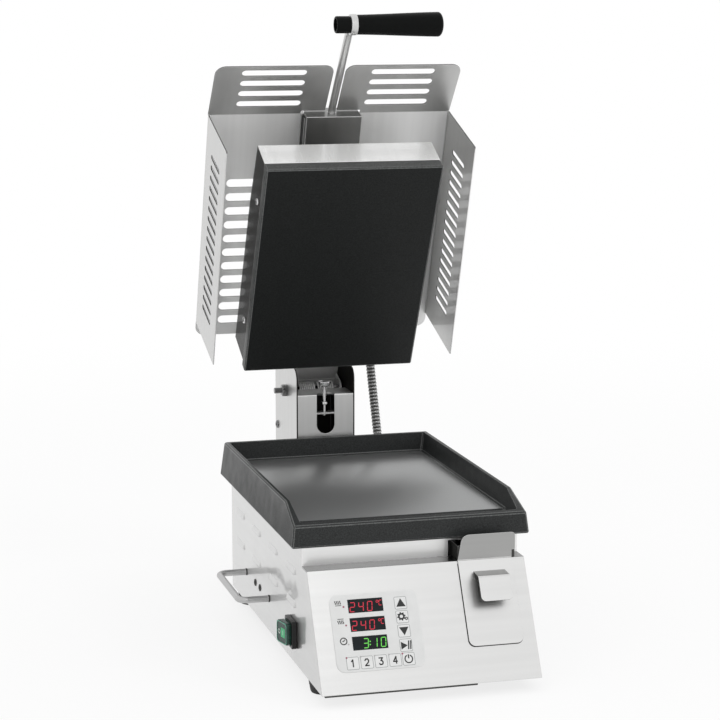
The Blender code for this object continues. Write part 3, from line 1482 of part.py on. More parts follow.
def build_swivel(arm_frame, head_frame):
    """Lugs on the arm, ears on the upper housing and the pin through both."""
    pivot_back = ARM_FACE - PIVOT_FORWARD
    bore = PIN_RADIUS + RUN_GAP
    span = LUG_HALF + 2 * LUG_THICKNESS + GAP

    lugs = bmesh.new()
    base_back = ARM_FACE - GAP
    base_front = base_back - LUG_BASE
    block(
        lugs,
        (-LUG_BASE_HALF, LUG_BASE_HALF),
        (base_front, base_back),
        (PIVOT_UP - LUG_BASE_HALF, PIVOT_UP + LUG_BASE_HALF),
    )
    piece = add_piece("arm_lugs", lugs, arm_frame, STEEL)
    cheeks = bmesh.new()
    outline = lug_outline(pivot_back, PIVOT_UP, base_back - GAP, LUG_RADIUS)
    for low in (-LUG_HALF, LUG_HALF - LUG_THICKNESS):
        prism(cheeks, "YZ", outline, low, low + LUG_THICKNESS)
    fuse(piece, "arm_lug_cheeks", cheeks)
    hole = bmesh.new()
    profile = [(bore, -span - OVERRUN), (bore, span + OVERRUN)]
    turned(hole, profile, "X", (0, pivot_back, PIVOT_UP), steps=16)
    cut(piece, "arm_lug_bore", hole)

    ears = bmesh.new()
    base_front = HEAD_BACK + GAP
    base_back = base_front + LUG_BASE
    block(ears, (-EAR_BASE_HALF, EAR_BASE_HALF), (base_front, base_back), (-LUG_BASE_HALF, LUG_BASE_HALF))
    piece = add_piece("head_yoke", ears, head_frame, STEEL)
    cheeks = bmesh.new()
    outline = lug_outline(0, 0, base_front + GAP, LUG_RADIUS)
    for low in (LUG_HALF + GAP, -LUG_HALF - GAP - LUG_THICKNESS):
        prism(cheeks, "YZ", outline, low, low + LUG_THICKNESS)
    fuse(piece, "yoke_cheeks", cheeks)
    hole = bmesh.new()
    turned(hole, profile, "X", (0, 0, 0), steps=16)
    cut(piece, "yoke_bore", hole)

    pin = bmesh.new()
    profile = [(PIN_RADIUS, -span), (PIN_RADIUS, span)]
    turned(pin, profile, "X", (0, 0, 0), steps=16)
    add_piece("swivel_pin", pin, head_frame, BRIGHT_STEEL, smooth=True)


def lug_outline(back, up, base, radius):
    """A lug that starts at base, square, and ends round about (back, up)."""
    sign = 1 if base < back else -1
    outline = [(base, up - sign * radius * LUG_FOOT_SHARE)]
    for step in range(2 * ARC_STEPS + 1):
        angle = -math.pi / 2 + math.pi * step / (2 * ARC_STEPS)
        outline.append((back + sign * radius * math.cos(angle), up + sign * radius * math.sin(angle)))
    outline.append((base, up + sign * radius * LUG_FOOT_SHARE))
    return outline


def build_head(head_frame):
    """The upper plate with its hollow housing, element and insulation block."""
    face = -PLATE_REACH
    half = PLATE_LENGTH / 2
    plate_back = face + PLATE_THICKNESS
    plate = bmesh.new()
    block(plate, (-PLATE_HALF, PLATE_HALF), (face, plate_back), (-half, half))
    piece = add_piece("upper_plate", plate, head_frame, BLACK_ENAMEL)
    soften(piece, PLATE_CORNER)
    recess = bmesh.new()
    block(
        recess,
        (PLATE_RIM - PLATE_HALF, PLATE_HALF - PLATE_RIM),
        (plate_back - PLATE_RECESS, plate_back + OVERRUN),
        (PLATE_RIM - half, half - PLATE_RIM),
    )
    cut(piece, "plate_recess", recess)

    top = half - HEAD_TOP_INSET
    bottom = HEAD_BOTTOM_INSET - half
    rim = plate_back + GAP
    outline = [
        (rim, bottom),
        (HEAD_BACK, bottom),
        (HEAD_BACK, half - HEAD_CREST),
        (face + HEAD_KNEE_DEPTH, half - HEAD_KNEE),
        (face + HEAD_END_DEPTH, top),
        (rim, top),
    ]
    housing = bmesh.new()
    prism(housing, "YZ", outline, -HEAD_HALF, HEAD_HALF)
    piece = add_piece("upper_housing", housing, head_frame, STEEL)
    hollow = bmesh.new()
    inside = [
        (rim - OVERRUN, bottom + WALL),
        (HEAD_BACK - WALL, bottom + WALL),
        (HEAD_BACK - WALL, half - HEAD_CREST),
        (face + HEAD_KNEE_DEPTH - WALL, half - HEAD_KNEE),
        (face + HEAD_END_DEPTH - WALL, top - WALL),
        (rim - OVERRUN, top - WALL),
    ]
    prism(hollow, "YZ", inside, WALL - HEAD_HALF, HEAD_HALF - WALL)
    cut(piece, "housing_hollow", hollow)

    level = plate_back - PLATE_RECESS + GAP + ELEMENT_RADIUS
    length = half - ELEMENT_END
    points = serpentine(0, length, level, lambda x, along, out: Vector((x, out, along)))
    element = bmesh.new()
    rod(element, points, ELEMENT_RADIUS, sides=8)
    add_piece("upper_element", element, head_frame, DARK_STEEL, smooth=True)

    wool = bmesh.new()
    start = plate_back + GAP
    side = HEAD_HALF - BLOCK_MARGIN
    block(wool, (-side, side), (start, start + BLOCK_THICKNESS), (bottom + BLOCK_MARGIN, top - BLOCK_MARGIN))
    add_piece("insulation_block", wool, head_frame, MINERAL_WOOL)


def build_hose(arm_frame):
    """A ribbed metal hose with its bore, from the body's back to the arm's right side."""
    body_end = Vector((HOSE_BODY_X, BODY_BACK_Y + GAP + GLAND_FLANGE + GAP, HOSE_BODY_Z))
    local = Vector((ARM_HALF + GAP + GLAND_FLANGE + GAP, HOSE_ARM_BACK, HOSE_ARM_UP))
    arm_place = Matrix.Translation(arm_frame.location) @ arm_frame.rotation_euler.to_matrix().to_4x4()
    arm_end = arm_place @ local
    out_body = Vector((0, 1, 0))
    out_arm = Vector((1, 0, 0))
    route = [body_end, body_end + out_body * HOSE_PLUNGE, body_end + out_body * (2 * HOSE_PLUNGE)]
    route += [Vector(point) for point in HOSE_MIDDLE]
    route += [arm_end + out_arm * (2 * HOSE_PLUNGE), arm_end + out_arm * HOSE_PLUNGE, arm_end]
    points = smooth_path(route, HOSE_PITCH / 2)
    radii = [HOSE_RADIUS if index % 2 else HOSE_GROOVE_RADIUS for index in range(len(points))]
    hose = bmesh.new()
    outer = sweep_rings(hose, points, radii, HOSE_SIDES)
    keep = list(range(0, len(points) - 1, HOSE_BORE_STEP)) + [len(points) - 1]
    core = [points[index] for index in keep]
    inner = sweep_rings(hose, core, [HOSE_BORE_RADIUS] * len(core), HOSE_SIDES)
    for first, second in zip(outer, outer[1:]):
        bridge_rings(hose, first, second)
    for first, second in zip(inner, inner[1:]):
        bridge_rings(hose, second, first)
    bridge_rings(hose, inner[0], outer[0])
    bridge_rings(hose, outer[-1], inner[-1])
    add_piece("conduit_hose", hose, None, BRIGHT_STEEL, smooth=True)

    gland = bmesh.new()
    start = BODY_BACK_Y + GAP
    centre = (HOSE_BODY_X, start, HOSE_BODY_Z)
    gland_shape(gland, "Y", centre, 1)
    add_piece("hose_gland_body", gland, None, BRIGHT_STEEL, smooth=True)

    gland = bmesh.new()
    centre = (ARM_HALF + GAP, HOSE_ARM_BACK, HOSE_ARM_UP)
    gland_shape(gland, "X", centre, 1)
    add_piece("hose_gland_arm", gland, arm_frame, BRIGHT_STEEL, smooth=True)

    mains = bmesh.new()
    profile = [
        (MAINS_BORE_RADIUS, 0),
        (MAINS_BORE_RADIUS, MAINS_LENGTH),
        (MAINS_TIP_RADIUS, MAINS_LENGTH),
        (MAINS_RADIUS, MAINS_LENGTH * MAINS_TAPER_SHARE),
        (MAINS_RADIUS, 0),
    ]
    turned(mains, profile, "Y", (MAINS_X, BODY_BACK_Y + GAP, MAINS_Z), steps=12, closed=True)
    add_piece("mains_gland", mains, None, BLACK_PLASTIC, smooth=True)


def gland_shape(mesh_data, axis, centre, direction):
    """A screwed gland: a flange on the wall and a sleeve that the hose's end sits in."""
    profile = [
        (HOSE_BORE_RADIUS, 0),
        (HOSE_BORE_RADIUS, GLAND_FLANGE),
        (GLAND_BORE_RADIUS, GLAND_FLANGE),
        (GLAND_BORE_RADIUS, GLAND_LENGTH),
        (GLAND_RADIUS * GLAND_EDGE_SHARE, GLAND_LENGTH),
        (GLAND_RADIUS, GLAND_LENGTH * GLAND_EDGE_START_SHARE),
        (GLAND_RADIUS, 0),
    ]
    profile = [(radius, along * direction) for radius, along in profile]
    turned(mesh_data, profile, axis, centre, steps=12, closed=True)


def build():
    clear_scene()
    panel_frame = add_frame("panel_frame", None, (0, BEND_Y, LEDGE_Z), -PANEL_LEAN)
    arm_frame = add_frame("lid_hinge", None, (0, AXLE_Y, AXLE_Z), ARM_LEAN)
    pivot = (0, ARM_FACE - PIVOT_FORWARD, PIVOT_UP)
    head_frame = add_frame("head_swivel", arm_frame, pivot, HEAD_TIP)
    drawer_x = (DRAWER_LEFT + DRAWER_RIGHT) / 2
    drawer_frame = add_frame("drawer_slide", None, (drawer_x, BEND_Y, LEDGE_Z), 0)
    build_body_shell()
    build_bottom_plate()
    build_feet()
    build_control_panel(panel_frame)
    build_controls(panel_frame)
    build_lower_plate()
    build_lower_heater()
    build_drawer(drawer_frame)
    build_drawer_rails()
    build_switch()
    build_carry_handles()
    build_post()
    build_axle()
    build_height_screw()
    build_arm(arm_frame)
    build_guard("guard_left", -1, arm_frame)
    build_guard("guard_right", 1, arm_frame)
    build_handle(arm_frame)
    build_swivel(arm_frame, head_frame)
    build_head(head_frame)
    build_hose(arm_frame)


build()
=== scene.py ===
import math

import bmesh
import bpy
from mathutils import Matrix, Vector


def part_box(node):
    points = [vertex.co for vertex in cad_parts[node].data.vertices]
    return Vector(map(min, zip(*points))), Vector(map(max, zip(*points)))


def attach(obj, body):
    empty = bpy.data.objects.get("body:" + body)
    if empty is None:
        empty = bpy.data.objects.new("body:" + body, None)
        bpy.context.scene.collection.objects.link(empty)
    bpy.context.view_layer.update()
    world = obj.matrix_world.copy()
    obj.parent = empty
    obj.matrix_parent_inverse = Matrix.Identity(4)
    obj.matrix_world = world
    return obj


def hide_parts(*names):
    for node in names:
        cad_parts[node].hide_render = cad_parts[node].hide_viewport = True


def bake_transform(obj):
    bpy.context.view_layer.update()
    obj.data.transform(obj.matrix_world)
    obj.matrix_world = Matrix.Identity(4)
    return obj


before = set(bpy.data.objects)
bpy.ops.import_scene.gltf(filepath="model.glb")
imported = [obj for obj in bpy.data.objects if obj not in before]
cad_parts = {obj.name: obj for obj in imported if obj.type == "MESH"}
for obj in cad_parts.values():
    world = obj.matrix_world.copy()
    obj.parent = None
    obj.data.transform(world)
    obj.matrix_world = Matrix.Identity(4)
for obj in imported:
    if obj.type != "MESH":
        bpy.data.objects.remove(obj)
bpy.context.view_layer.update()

# Camera, in metres and degrees
CAMERA_PLACE = (-0.8780, -3.2053, 0.9903)
CAMERA_TURN = (80.2566, 0.0, -15.2569)
CAMERA_LENS = 110.18
CAMERA_SENSOR = 36.0

# Clearances and shared sheet sizes
GAP = 0.0003
WALL = 0.0015
PRINT = 0.00008
EDGE = 0.0003
BEND = 0.003
MERGE = 0.000002
ROUND = 64
SMALL_ROUND = 40
BAR_SIDES = 32
PATH_STEPS = 24
SIDES = (("left", -1), ("right", 1))

# Body and control panel
BODY_HALF = 0.161
FOOT_HEIGHT = 0.0182
PANEL_LEAN = math.radians(28.56)
PANEL_LENGTH = 0.1772
RISER = 0.0272
FOOT_TOP_RADIUS = 0.0234
FOOT_TIP_RADIUS = 0.0202
FOOT_EDGE = 0.0025
FOOT_RECESS = 0.0006
LOUVRE_LENGTH = 0.050
LOUVRE_HEIGHT = 0.006
LOUVRE_FIRST = 0.0968
LOUVRE_PITCH = 0.1142
LOUVRE_COLUMNS = 4
LOUVRE_LOW = 0.0865
LOUVRE_RISE = 0.0487
HOOD_HEIGHT = 0.0085
HOOD_DEPTH = 0.0022
HOOD_END_SHARE = 0.125
HOOD_THICKNESS = 0.0008
HOOD_COLUMNS = 16
HOOD_ROWS = 6

# Tray and lengths that place the post
TRAY_SETBACK = 0.0226
TRAY_LENGTH = 0.4983
TRAY_BACK_DRAFT = 0.0066
POST_DEPTH = 0.1513

# Control foil
FOIL_INSET = 0.026
FOIL_THICKNESS = 0.0006
DISPLAY_INSET = 0.0265
DISPLAY_HEIGHT = 0.019
DISPLAY_TOP = 0.0447
DISPLAY_PITCH = 0.02655
KEY_SIZE = 0.0182
KEY_CORNER = 0.0022
KEY_LINE = 0.0008
KEY_RISE = 0.0002
DIGIT_HEIGHT = 0.0130
DIGIT_WIDTH = 0.0066
DIGIT_PITCH = 0.0127
DIGIT_STROKE = 0.0012
DIGIT_SLANT_SHARE = 0.10
LAMP_RADIUS = 0.0013

# Drawer front and pull
DRAWER_LEFT = 0.0605
DRAWER_RIGHT = 0.1415
FLAP_RIGHT = 0.1467
FLAP_RISE = 0.0379
FLAP_NOTCH = 0.0119
FLAP_CORNER = 0.012
FLAP_NOTCH_CORNER = 0.0015
FLAP_SLANT = 0.0065
DRAWER_DROP = 0.125
DRAWER_CORNER = 0.010
# Black strip behind the drawer front that paints the shadow in its gap: how far it shows at the left and
# below, and how far below the top it starts
SHADOW_STRIP_LEFT = 0.0011
SHADOW_STRIP_BELOW = 0.0009
SHADOW_STRIP_DOWN = 0.004
LIP_DEPTH = 0.004
LIP_HEIGHT = 0.0024
LIP_SETBACK = 0.0006
LIP_LEFT = 0.1570
LIP_RIGHT = 0.0650
PULL_LEFT = 0.0800
PULL_RIGHT = 0.1272
PULL_ROOT = 0.0315
PULL_TOP = 0.0186
PULL_BEND = 0.031
PULL_BOTTOM = 0.0667
PULL_REACH = 0.025
PULL_CORNER = 0.007
PULL_FOLD = 0.0025

# Carry handles, switch and side screws
HANDLE_FRONT = 0.2413
HANDLE_SPAN = 0.1593
HANDLE_REACH = 0.045
HANDLE_RADIUS = 0.005
HANDLE_CORNER = 0.013
HANDLE_Z = 0.069
COLLAR_RADIUS = 0.0055
COLLAR_HEIGHT = 0.0012
SIDE_SCREW_Y = (0.0094, 0.0413)
SIDE_SCREW_RADIUS = 0.0057
SIDE_SCREW_HEIGHT = 0.0018
SWITCH_SETBACK = 0.0844
SWITCH_Z = 0.0626
SWITCH_PROUD = 0.007
CAP_HALF = 0.017
CAP_HIGH = 0.0138
CAP_LOW = 0.0062
CAP_WALL = 0.0004
CAP_SINK = 0.0006
MARK_OFF = -0.0088
MARK_HEIGHT = 0.0070
MARK_STROKE = 0.0011
LIT_LEFT = -0.0035
LIT_RIGHT = 0.0095
LIT_HALF = 0.0070

# Hinge post
POST_INNER_HALF = 0.047
POST_PLATE = 0.002
POST_HEAD = 0.0453
POST_FOOT_Z = 0.0305
POST_FRONT_CORNER = 0.019
POST_FOOT_CORNER = 0.003
POST_BACK_CORNER = 0.010
POST_SCREW_Y = 0.3619
POST_SCREW_Z = 0.2520
POST_SCREW_LOW_Z = 0.0800
POST_SCREW_RADIUS = 0.0068
POST_SCREW_HEIGHT = 0.0034
COVER_THICKNESS = 0.002
COVER_RISE = 0.0038
COVER_DEPTH = 0.050
COVER_DROP = 0.130
SLOT_HALF = 0.015
SLOT_STEPS = 24
NOTCH_STEPS = 16
SLOT_BOTTOM = 0.0620
AXLE_SETBACK = 0.0708
AXLE_RISE = 0.1204
AXLE_RADIUS = 0.005
AXLE_HEAD_RADIUS = 0.009
AXLE_HEAD = 0.0055
AXLE_TAIL = 0.0205
NUT_RADIUS = 0.0105
NUT_LENGTH = 0.0085
THREAD_PITCH = 0.0012
THREAD_DEPTH = 0.0006
SPRING_RADIUS = 0.0125
SPRING_LENGTH = 0.031
SPRING_WIRE = 0.0016
SPRING_TURNS = 8
COIL_STEPS = 24

# Height screw
SCREW_SETBACK = 0.0085
SCREW_RADIUS = 0.003
SCREW_TOP = 0.0236
DISH_RADIUS = 0.0105
DISH_HEIGHT = 0.0095
DISH_BOWL = 0.0025
DISH_RIM = 0.0008
LOCK_NUT_RADIUS = 0.0055
LOCK_NUT_LENGTH = 0.005
LOCK_NUT_DROP = 0.0152
BRIDGE_DROP = 0.0272
BRIDGE_THICKNESS = 0.003
SCREW_TAIL = 0.004

# Lift arm and splash guards
ARM_LEAN = math.radians(19.32)
ARM_HALF = 0.045
ARM_FACE = 0.0277
ARM_DEPTH = 0.038
ARM_END = 0.4764
GUARD_HALF = 0.1974
GUARD_BACK = 0.0278
GUARD_TOP = 0.4725
GUARD_LENGTH = 0.3663
GUARD_DEPTH = 0.1487
GUARD_TAIL = 0.0247
GUARD_TAIL_CORNER = 0.015
GUARD_CORNER = 0.003
GUARD_FLANGE = 0.020
GUARD_FLANGE_START = 0.160
SLIT_FRONT = 0.108
SLIT_BACK = 0.0445
SLIT_HEIGHT = 0.0075
SLIT_FIRST = 0.0520
SLIT_PITCH = 0.01743
SLIT_COUNT = 16
VENT_OUTER = 0.161
VENT_INNER = 0.060
VENT_HEIGHT = 0.014
VENT_FIRST = 0.1185
VENT_PITCH = 0.02448
VENT_COUNT = 11
FLAP_TURN = math.radians(22.28)
FLAP_LENGTH = 0.1027
FLAP_INNER = 0.0095
FLAP_OUTER_CORNER = 0.017
FLAP_INNER_CORNER = 0.015
FLAP_CLEAR_CORNER = 0.002
FLAP_VENT_OUTER = 0.155
FLAP_VENT_INNER = 0.052
FLAP_VENT_HEIGHT = 0.0118
FLAP_VENT_FIRST = 0.0227
FLAP_VENT_PITCH = 0.0219
FLAP_VENT_COUNT = 4

# Handle rod, grip and end cap
ROD_RADIUS = 0.006
ROD_TURN = math.radians(21.7)
ROD_STEM = 0.030
ROD_BEND_RISE = 0.006
ROD_LENGTH = 0.1575
ROD_NECK = 0.0292
ROD_BEND_RADIUS = 0.020
EYE_TURN = math.radians(40.4)
EYE_RADIUS = 0.016
EYE_THICKNESS = 0.0105
EYE_EDGE = 0.0014
SPINDLE_RADIUS = 0.005
GRIP_LENGTH = 0.1353
GRIP_ROOT_RADIUS = 0.015
GRIP_TIP_RADIUS = 0.0188
GRIP_BORE_DEPTH = 0.110
GRIP_STEPS = 12
STUB_LENGTH = 0.0219
STUB_RADIUS = 0.013
STUB_BORE = 0.0095
STUB_FLOOR = 0.008

# Upper plate and its swivel
PIVOT_UP = 0.2803
PIVOT_FORWARD = 0.015
HEAD_TIP = math.radians(7.88)
PLATE_REACH = 0.1077
PLATE_LENGTH = 0.380
HEAD_HALF = 0.1392
HEAD_SCREWS_DOWN = (0.080, 0.304)
HEAD_SCREW_DEPTH = 0.037
HEAD_SCREW_RADIUS = 0.0055
HEAD_SCREW_HEIGHT = 0.0026

# Metal hose
HOSE_RADIUS = 0.0077
HOSE_GROOVE_RADIUS = 0.0066
HOSE_BORE_RADIUS = 0.0050
HOSE_PITCH = 0.0060
HOSE_SIDES = 28
RIB_STEPS = 8
GLAND_RADIUS = 0.0125
GLAND_LENGTH = 0.015
GLAND_FLANGE = 0.004
GLAND_BORE_RADIUS = 0.0082
HOSE_PLUNGE = 0.0155
HOSE_BODY_X = 0.118
HOSE_BODY_Z = 0.128
HOSE_ARM_BACK = 0.0405
HOSE_ARM_UP = 0.128
HOSE_MIDDLE = (
    (0.117, 0.288, 0.160),
    (0.1115, 0.297, 0.205),
    (0.1073, 0.296, 0.241),
    (0.1005, 0.2945, 0.300),
    (0.0941, 0.292, 0.355),
    (0.0900, 0.290, 0.400),
)

# Places that follow from the sizes above
PANEL_RUN = PANEL_LENGTH * math.sin(PANEL_LEAN)
FRONT_Y = -(PANEL_RUN + TRAY_SETBACK + TRAY_LENGTH + GAP + POST_DEPTH) / 2
BEND_Y = FRONT_Y + PANEL_RUN
BODY_BOTTOM = FOOT_HEIGHT + GAP
LEDGE_Z = BODY_BOTTOM + PANEL_LENGTH * math.cos(PANEL_LEAN)
TRAY_Z = LEDGE_Z + RISER
TRAY_BACK_Y = BEND_Y + TRAY_SETBACK + TRAY_LENGTH
BODY_BACK_Y = TRAY_BACK_Y - 2 * TRAY_BACK_DRAFT
POST_FRONT_Y = TRAY_BACK_Y + GAP
BACK_Y = POST_FRONT_Y + POST_DEPTH
AXLE_Y = POST_FRONT_Y + AXLE_SETBACK
AXLE_Z = TRAY_Z + AXLE_RISE
POST_OUTER_HALF = POST_INNER_HALF + POST_PLATE
COVER_Z = AXLE_Z + COVER_RISE
GUARD_PLANE = ARM_FACE + GUARD_BACK
GUARD_FOOT = GUARD_TOP - GUARD_LENGTH
ARM_MIDDLE = ARM_FACE + ARM_DEPTH / 2
SPINDLE_BORE = SPINDLE_RADIUS + GAP
SWITCH_X = -BODY_HALF - SWITCH_PROUD - 2 * GAP
SWITCH_Y = BEND_Y + SWITCH_SETBACK
CAP_SLOPE = (CAP_HIGH - CAP_LOW) / 2 / CAP_HALF
FOIL_LEFT = FOIL_INSET - BODY_HALF
DISPLAY_LEFT = FOIL_LEFT + DISPLAY_INSET
SMOOTH_ANGLE = math.radians(50)
SHEARED_SHARE = 0.5
FLAT_SHARE = 0.97

ARM_PLACE = Matrix.Translation((0, AXLE_Y, AXLE_Z)) @ Matrix.Rotation(ARM_LEAN, 4, "X")
HEAD_PLACE = ARM_PLACE @ Matrix.Translation((0, ARM_FACE - PIVOT_FORWARD, PIVOT_UP))
HEAD_PLACE = HEAD_PLACE @ Matrix.Rotation(HEAD_TIP, 4, "X")
PANEL_PLACE = Matrix.Translation((0, BEND_Y, LEDGE_Z)) @ Matrix.Rotation(-PANEL_LEAN, 4, "X")

# Sheet planes, as u and v of an outline and w out of its face, and the axes that a lathe turns about
TO_BACK = Matrix(((1, 0, 0, 0), (0, 0, 1, 0), (0, 1, 0, 0), (0, 0, 0, 1)))
TO_FRONT = Matrix(((1, 0, 0, 0), (0, 0, -1, 0), (0, 1, 0, 0), (0, 0, 0, 1)))
TO_RIGHT = Matrix(((0, 0, 1, 0), (1, 0, 0, 0), (0, 1, 0, 0), (0, 0, 0, 1)))
LEVEL = Matrix.Identity(4)
AXIS_TURNS = {
    "X": TO_RIGHT,
    "Y": Matrix(((0, 1, 0, 0), (0, 0, 1, 0), (1, 0, 0, 0), (0, 0, 0, 1))),
    "Z": LEVEL,
}
FACE_PLACE = PANEL_PLACE @ TO_FRONT
UP = Vector((0, 0, 1))
RIGHT = Vector((1, 0, 0))
FRONT = Vector((0, -1, 0))
BACK = Vector((0, 1, 0))

# Turned forms, in rows of (share of the radius, share of the length)
SCREW_HEAD_SHARES = (
    (0, 0.45), (0.42, 0.45), (0.42, 0.97), (0.4704, 1), (0.66, 0.93),
    (0.86, 0.74), (0.97, 0.42), (1, 0.12), (1, 0), (0, 0),
)
GLAND_SHARES = ((0.88, 1), (0.97, 0.93), (1, 0.82), (1, 0.46), (0.92, 0.42), (0.92, 0.34), (1, 0.30), (1, 0))
AXLE_HEAD_SHARES = ((1, 0), (1, 0.75), (0.88, 1), (0, 1))
NUT_SHARES = ((1, 0), (1, 0.85), (0.88, 1))
LOCK_NUT_SHARES = ((0.9, 1), (1, 0.85), (1, 0.15), (0.9, 0))
BOWL_SHARES = ((0, 1), (0.45, 0.94), (0.75, 0.6))
DISH_STEM_SHARES = ((0.92, 0.45), (0.76, 0.80), (0.5, 1))
GRIP_ROOT_SHARES = ((0.90, 0), (0.97, 0.06), (1, 0.2))
STUB_BORE_SHARES = ((1, 0.97), (1.05, 1))
STUB_SHARES = ((0.93, 1), (0.985, 0.965), (1, 0.9), (1, 0.05), (0.96, 0))
# Edges, in rows of (share of the edge out, share of the edge along)
RIM_SHARES = ((-1.6, -0.5), (-1, 0), (-0.3, -0.2), (0, -1))
EYE_EDGE_SHARES = ((-1, 0), (-0.3, 0.3), (0, 1))
FOOT_TIP_SHARES = ((-1, 0), (-0.3, 0.25), (0.1, 1))
FOOT_TOP_SHARES = ((-0.1, -0.4), (-0.3, 0))
FOOT_DISH_SHARES = (0.55, 0.60)
GRIP_DOME_SHARE = 0.36
GRIP_DOME_POWER = 0.55
EYE_REACH_SHARES = (1.25, 0.8)
RIB_POWER = 0.6
RIB_GROOVE_SHARE = -0.2
PANEL_EDGE_SHARE = 1 / 2.2

# Finishes. Noises are given as (sizes along the axes, turn about X, detail)
STEEL_LINE = 0.00035
STEEL_LINE_LENGTH = 0.045
STEEL_BAND = 0.010
STEEL_BAND_LENGTH = 0.300
STEEL_LINE_DEPTH = 0.0002
STEEL_LINE_SHARE = 0.05
STEEL_TINT_SHARE = 0.02
STEEL_ROUGH_SPREAD = 0.04
STEEL_SKIN_ROUGHNESS = 0.05
STEEL_WAVE_LENGTH = 0.070
SHEET_WAVE = 0.0012
SIDE_WAVE = 0.0006
NOISE_SHARES = (0.3, 0.7)
LEAST_ROUGHNESS = 0.03
MARKS = ((0.004, 0.004, 0.004),)
SPECKS = ((0.0006, 0.0006, 0.0006),)
CASTING = ((0.0016, 0.0016, 0.0016), 0.0, 2.0)
PATCHES = ((0.030, 0.030, 0.030),)
RIPPLES = ((0.006, 0.006, 0.006),)
DUST = ((0.0012, 0.0012, 0.0012),)
PEARL = ((0.0009, 0.0009, 0.0009),)
CLOUDS = ((0.020, 0.020, 0.020),)
GLOW_CLOUDS = ((0.002, 0.002, 0.002),)
STRANDS = ((0.020, 0.0012, 0.0012), 0.0, 6.0)
WEAVE = ((0.0006, 0.003, 0.0006),)
FINE_DEPTH = 0.0002
CAST_DEPTH = 0.0004
RIPPLE_DEPTH = 0.001
GRIP_RIPPLE_DEPTH = 0.0001
WOOL_DEPTH = 0.002
DARK_STEEL = (0.07, 0.07, 0.067)
ROD_STEEL = (0.66, 0.66, 0.655)
HEAD_LEAN = ARM_LEAN + HEAD_TIP
FINISH = {}
# Colour, roughness, axis of the brushing, and what differs from plain sheet
BRUSHED = {
    "steel_panel": ((0.725, 0.725, 0.72), 0.34, 0, {"mirror": 0.3}),
    "steel_cover": ((0.69, 0.69, 0.684), 0.38, 2, {"mirror": 0.4}),
    # Painted shade: a darker copy of the panel steel for faces that look to the front, the drawer flap's
    # face and the pull's shelf
    "steel_flap_painted_shade": ((0.36, 0.36, 0.355), 0.34, 0, {}),
    # Painted shade: the ledge's top under the tray's overhang, much darker than the panel
    "steel_ledge_painted_shade": ((0.12, 0.12, 0.118), 0.30, 0, {}),
    # Painted light: a lighter copy of the body's sheet steel for its front faces
    "steel_riser_painted_light": ((0.84, 0.84, 0.834), 0.42, 0, {"mirror": 1.0, "skin": 1.7}),
    "steel_sheet": ((0.57, 0.57, 0.566), 0.36, 1, {"wave": SHEET_WAVE, "mirror": 1.0, "skin": 1.7}),
    "steel_post": ((0.60, 0.60, 0.594), 0.40, 2, {"mirror": 0.4}),
    # Painted shade: near black steel for inner faces, undersides and sheets hidden inside the body
    "steel_inside_painted_shade": (DARK_STEEL, 0.45, 2, {"mirror": 0.05, "edge": 0.3}),
    # Painted reflection: the arm's steel is made dark to stand in for the dark surroundings that it mirrors
    "steel_arm_painted_reflection": ((0.235, 0.235, 0.23), 0.34, 2, {"turn": ARM_LEAN, "mirror": 0.4}),
    # A lighter copy of the arm steel for the arm's foot and the hinge bracket
    "steel_lighter_arm_foot": (ROD_STEEL, 0.42, 2, {"turn": ARM_LEAN, "mirror": 0.3, "metal": 0.7}),
    "steel_guard": ((0.56, 0.56, 0.553), 0.44, 2, {"turn": ARM_LEAN, "metal": 0.88}),
    # Painted light: a lighter, less metallic copy of the guard steel for the back sheets' front faces
    "steel_guard_back_painted_light": ((0.82, 0.82, 0.815), 0.42, 2, {"turn": ARM_LEAN, "mirror": 0.4, "metal": 0.5}),
    "steel_housing": ((0.95, 0.95, 0.945), 0.24, 1, {"turn": HEAD_LEAN, "mirror": 0.5}),
    # Painted shade: near black steel for the housing's sides and the guard flanges beside the arm
    "steel_side_painted_shade": (
        (0.075, 0.075, 0.073), 0.22, 2, {"turn": HEAD_LEAN, "wave": SIDE_WAVE, "mirror": 0.2, "edge": 0.4}
    ),
}
# Colour and roughness
POLISHED = {
    "steel_bright": ((0.72, 0.72, 0.72), 0.18),
    "steel_bar": ((0.50, 0.50, 0.50), 0.34),
    "steel_rod": (ROD_STEEL, 0.34),
    "steel_nut": ((0.20, 0.20, 0.20), 0.16),
    "steel_hose": ((0.42, 0.42, 0.42), 0.20),
    # Painted shade in the hose's grooves
    "steel_groove_painted_shade": (DARK_STEEL, 0.30),
    "steel_dark": (DARK_STEEL, 0.42),
    # Cut edges: dark oxide, darkened further as painted shade in slits and gaps
    "steel_cut_oxide_and_shade": ((0.045, 0.045, 0.043), 0.55),
}
# Colour, roughness, strength of the grain, specular level, wear, metal
ENAMELS = {
    "enamel_tray": ((0.017, 0.0185, 0.0185), 0.42, 0.45, 0.28, 1.0, 0.0),
    # Painted sheen: the tray floor is pale grey and partly metallic where the black enamel shines
    "enamel_floor_painted_sheen": ((0.34, 0.345, 0.345), 0.32, 0.03, 1.0, 0.05, 0.7),
    # Painted highlight: lighter enamel for the plates' rounded edges
    "enamel_edge_painted_highlight": ((0.065, 0.068, 0.067), 0.34, 0.1, 0.6, 1.0, 0.0),
    "enamel_plate": ((0.0075, 0.0085, 0.0083), 0.46, 0.3, 0.2, 1.0, 0.0),
    # Painted sheen: lighter enamel for the upper plate's sides
    "enamel_side_painted_sheen": ((0.042, 0.044, 0.043), 0.40, 0.2, 0.3, 1.0, 0.0),
}
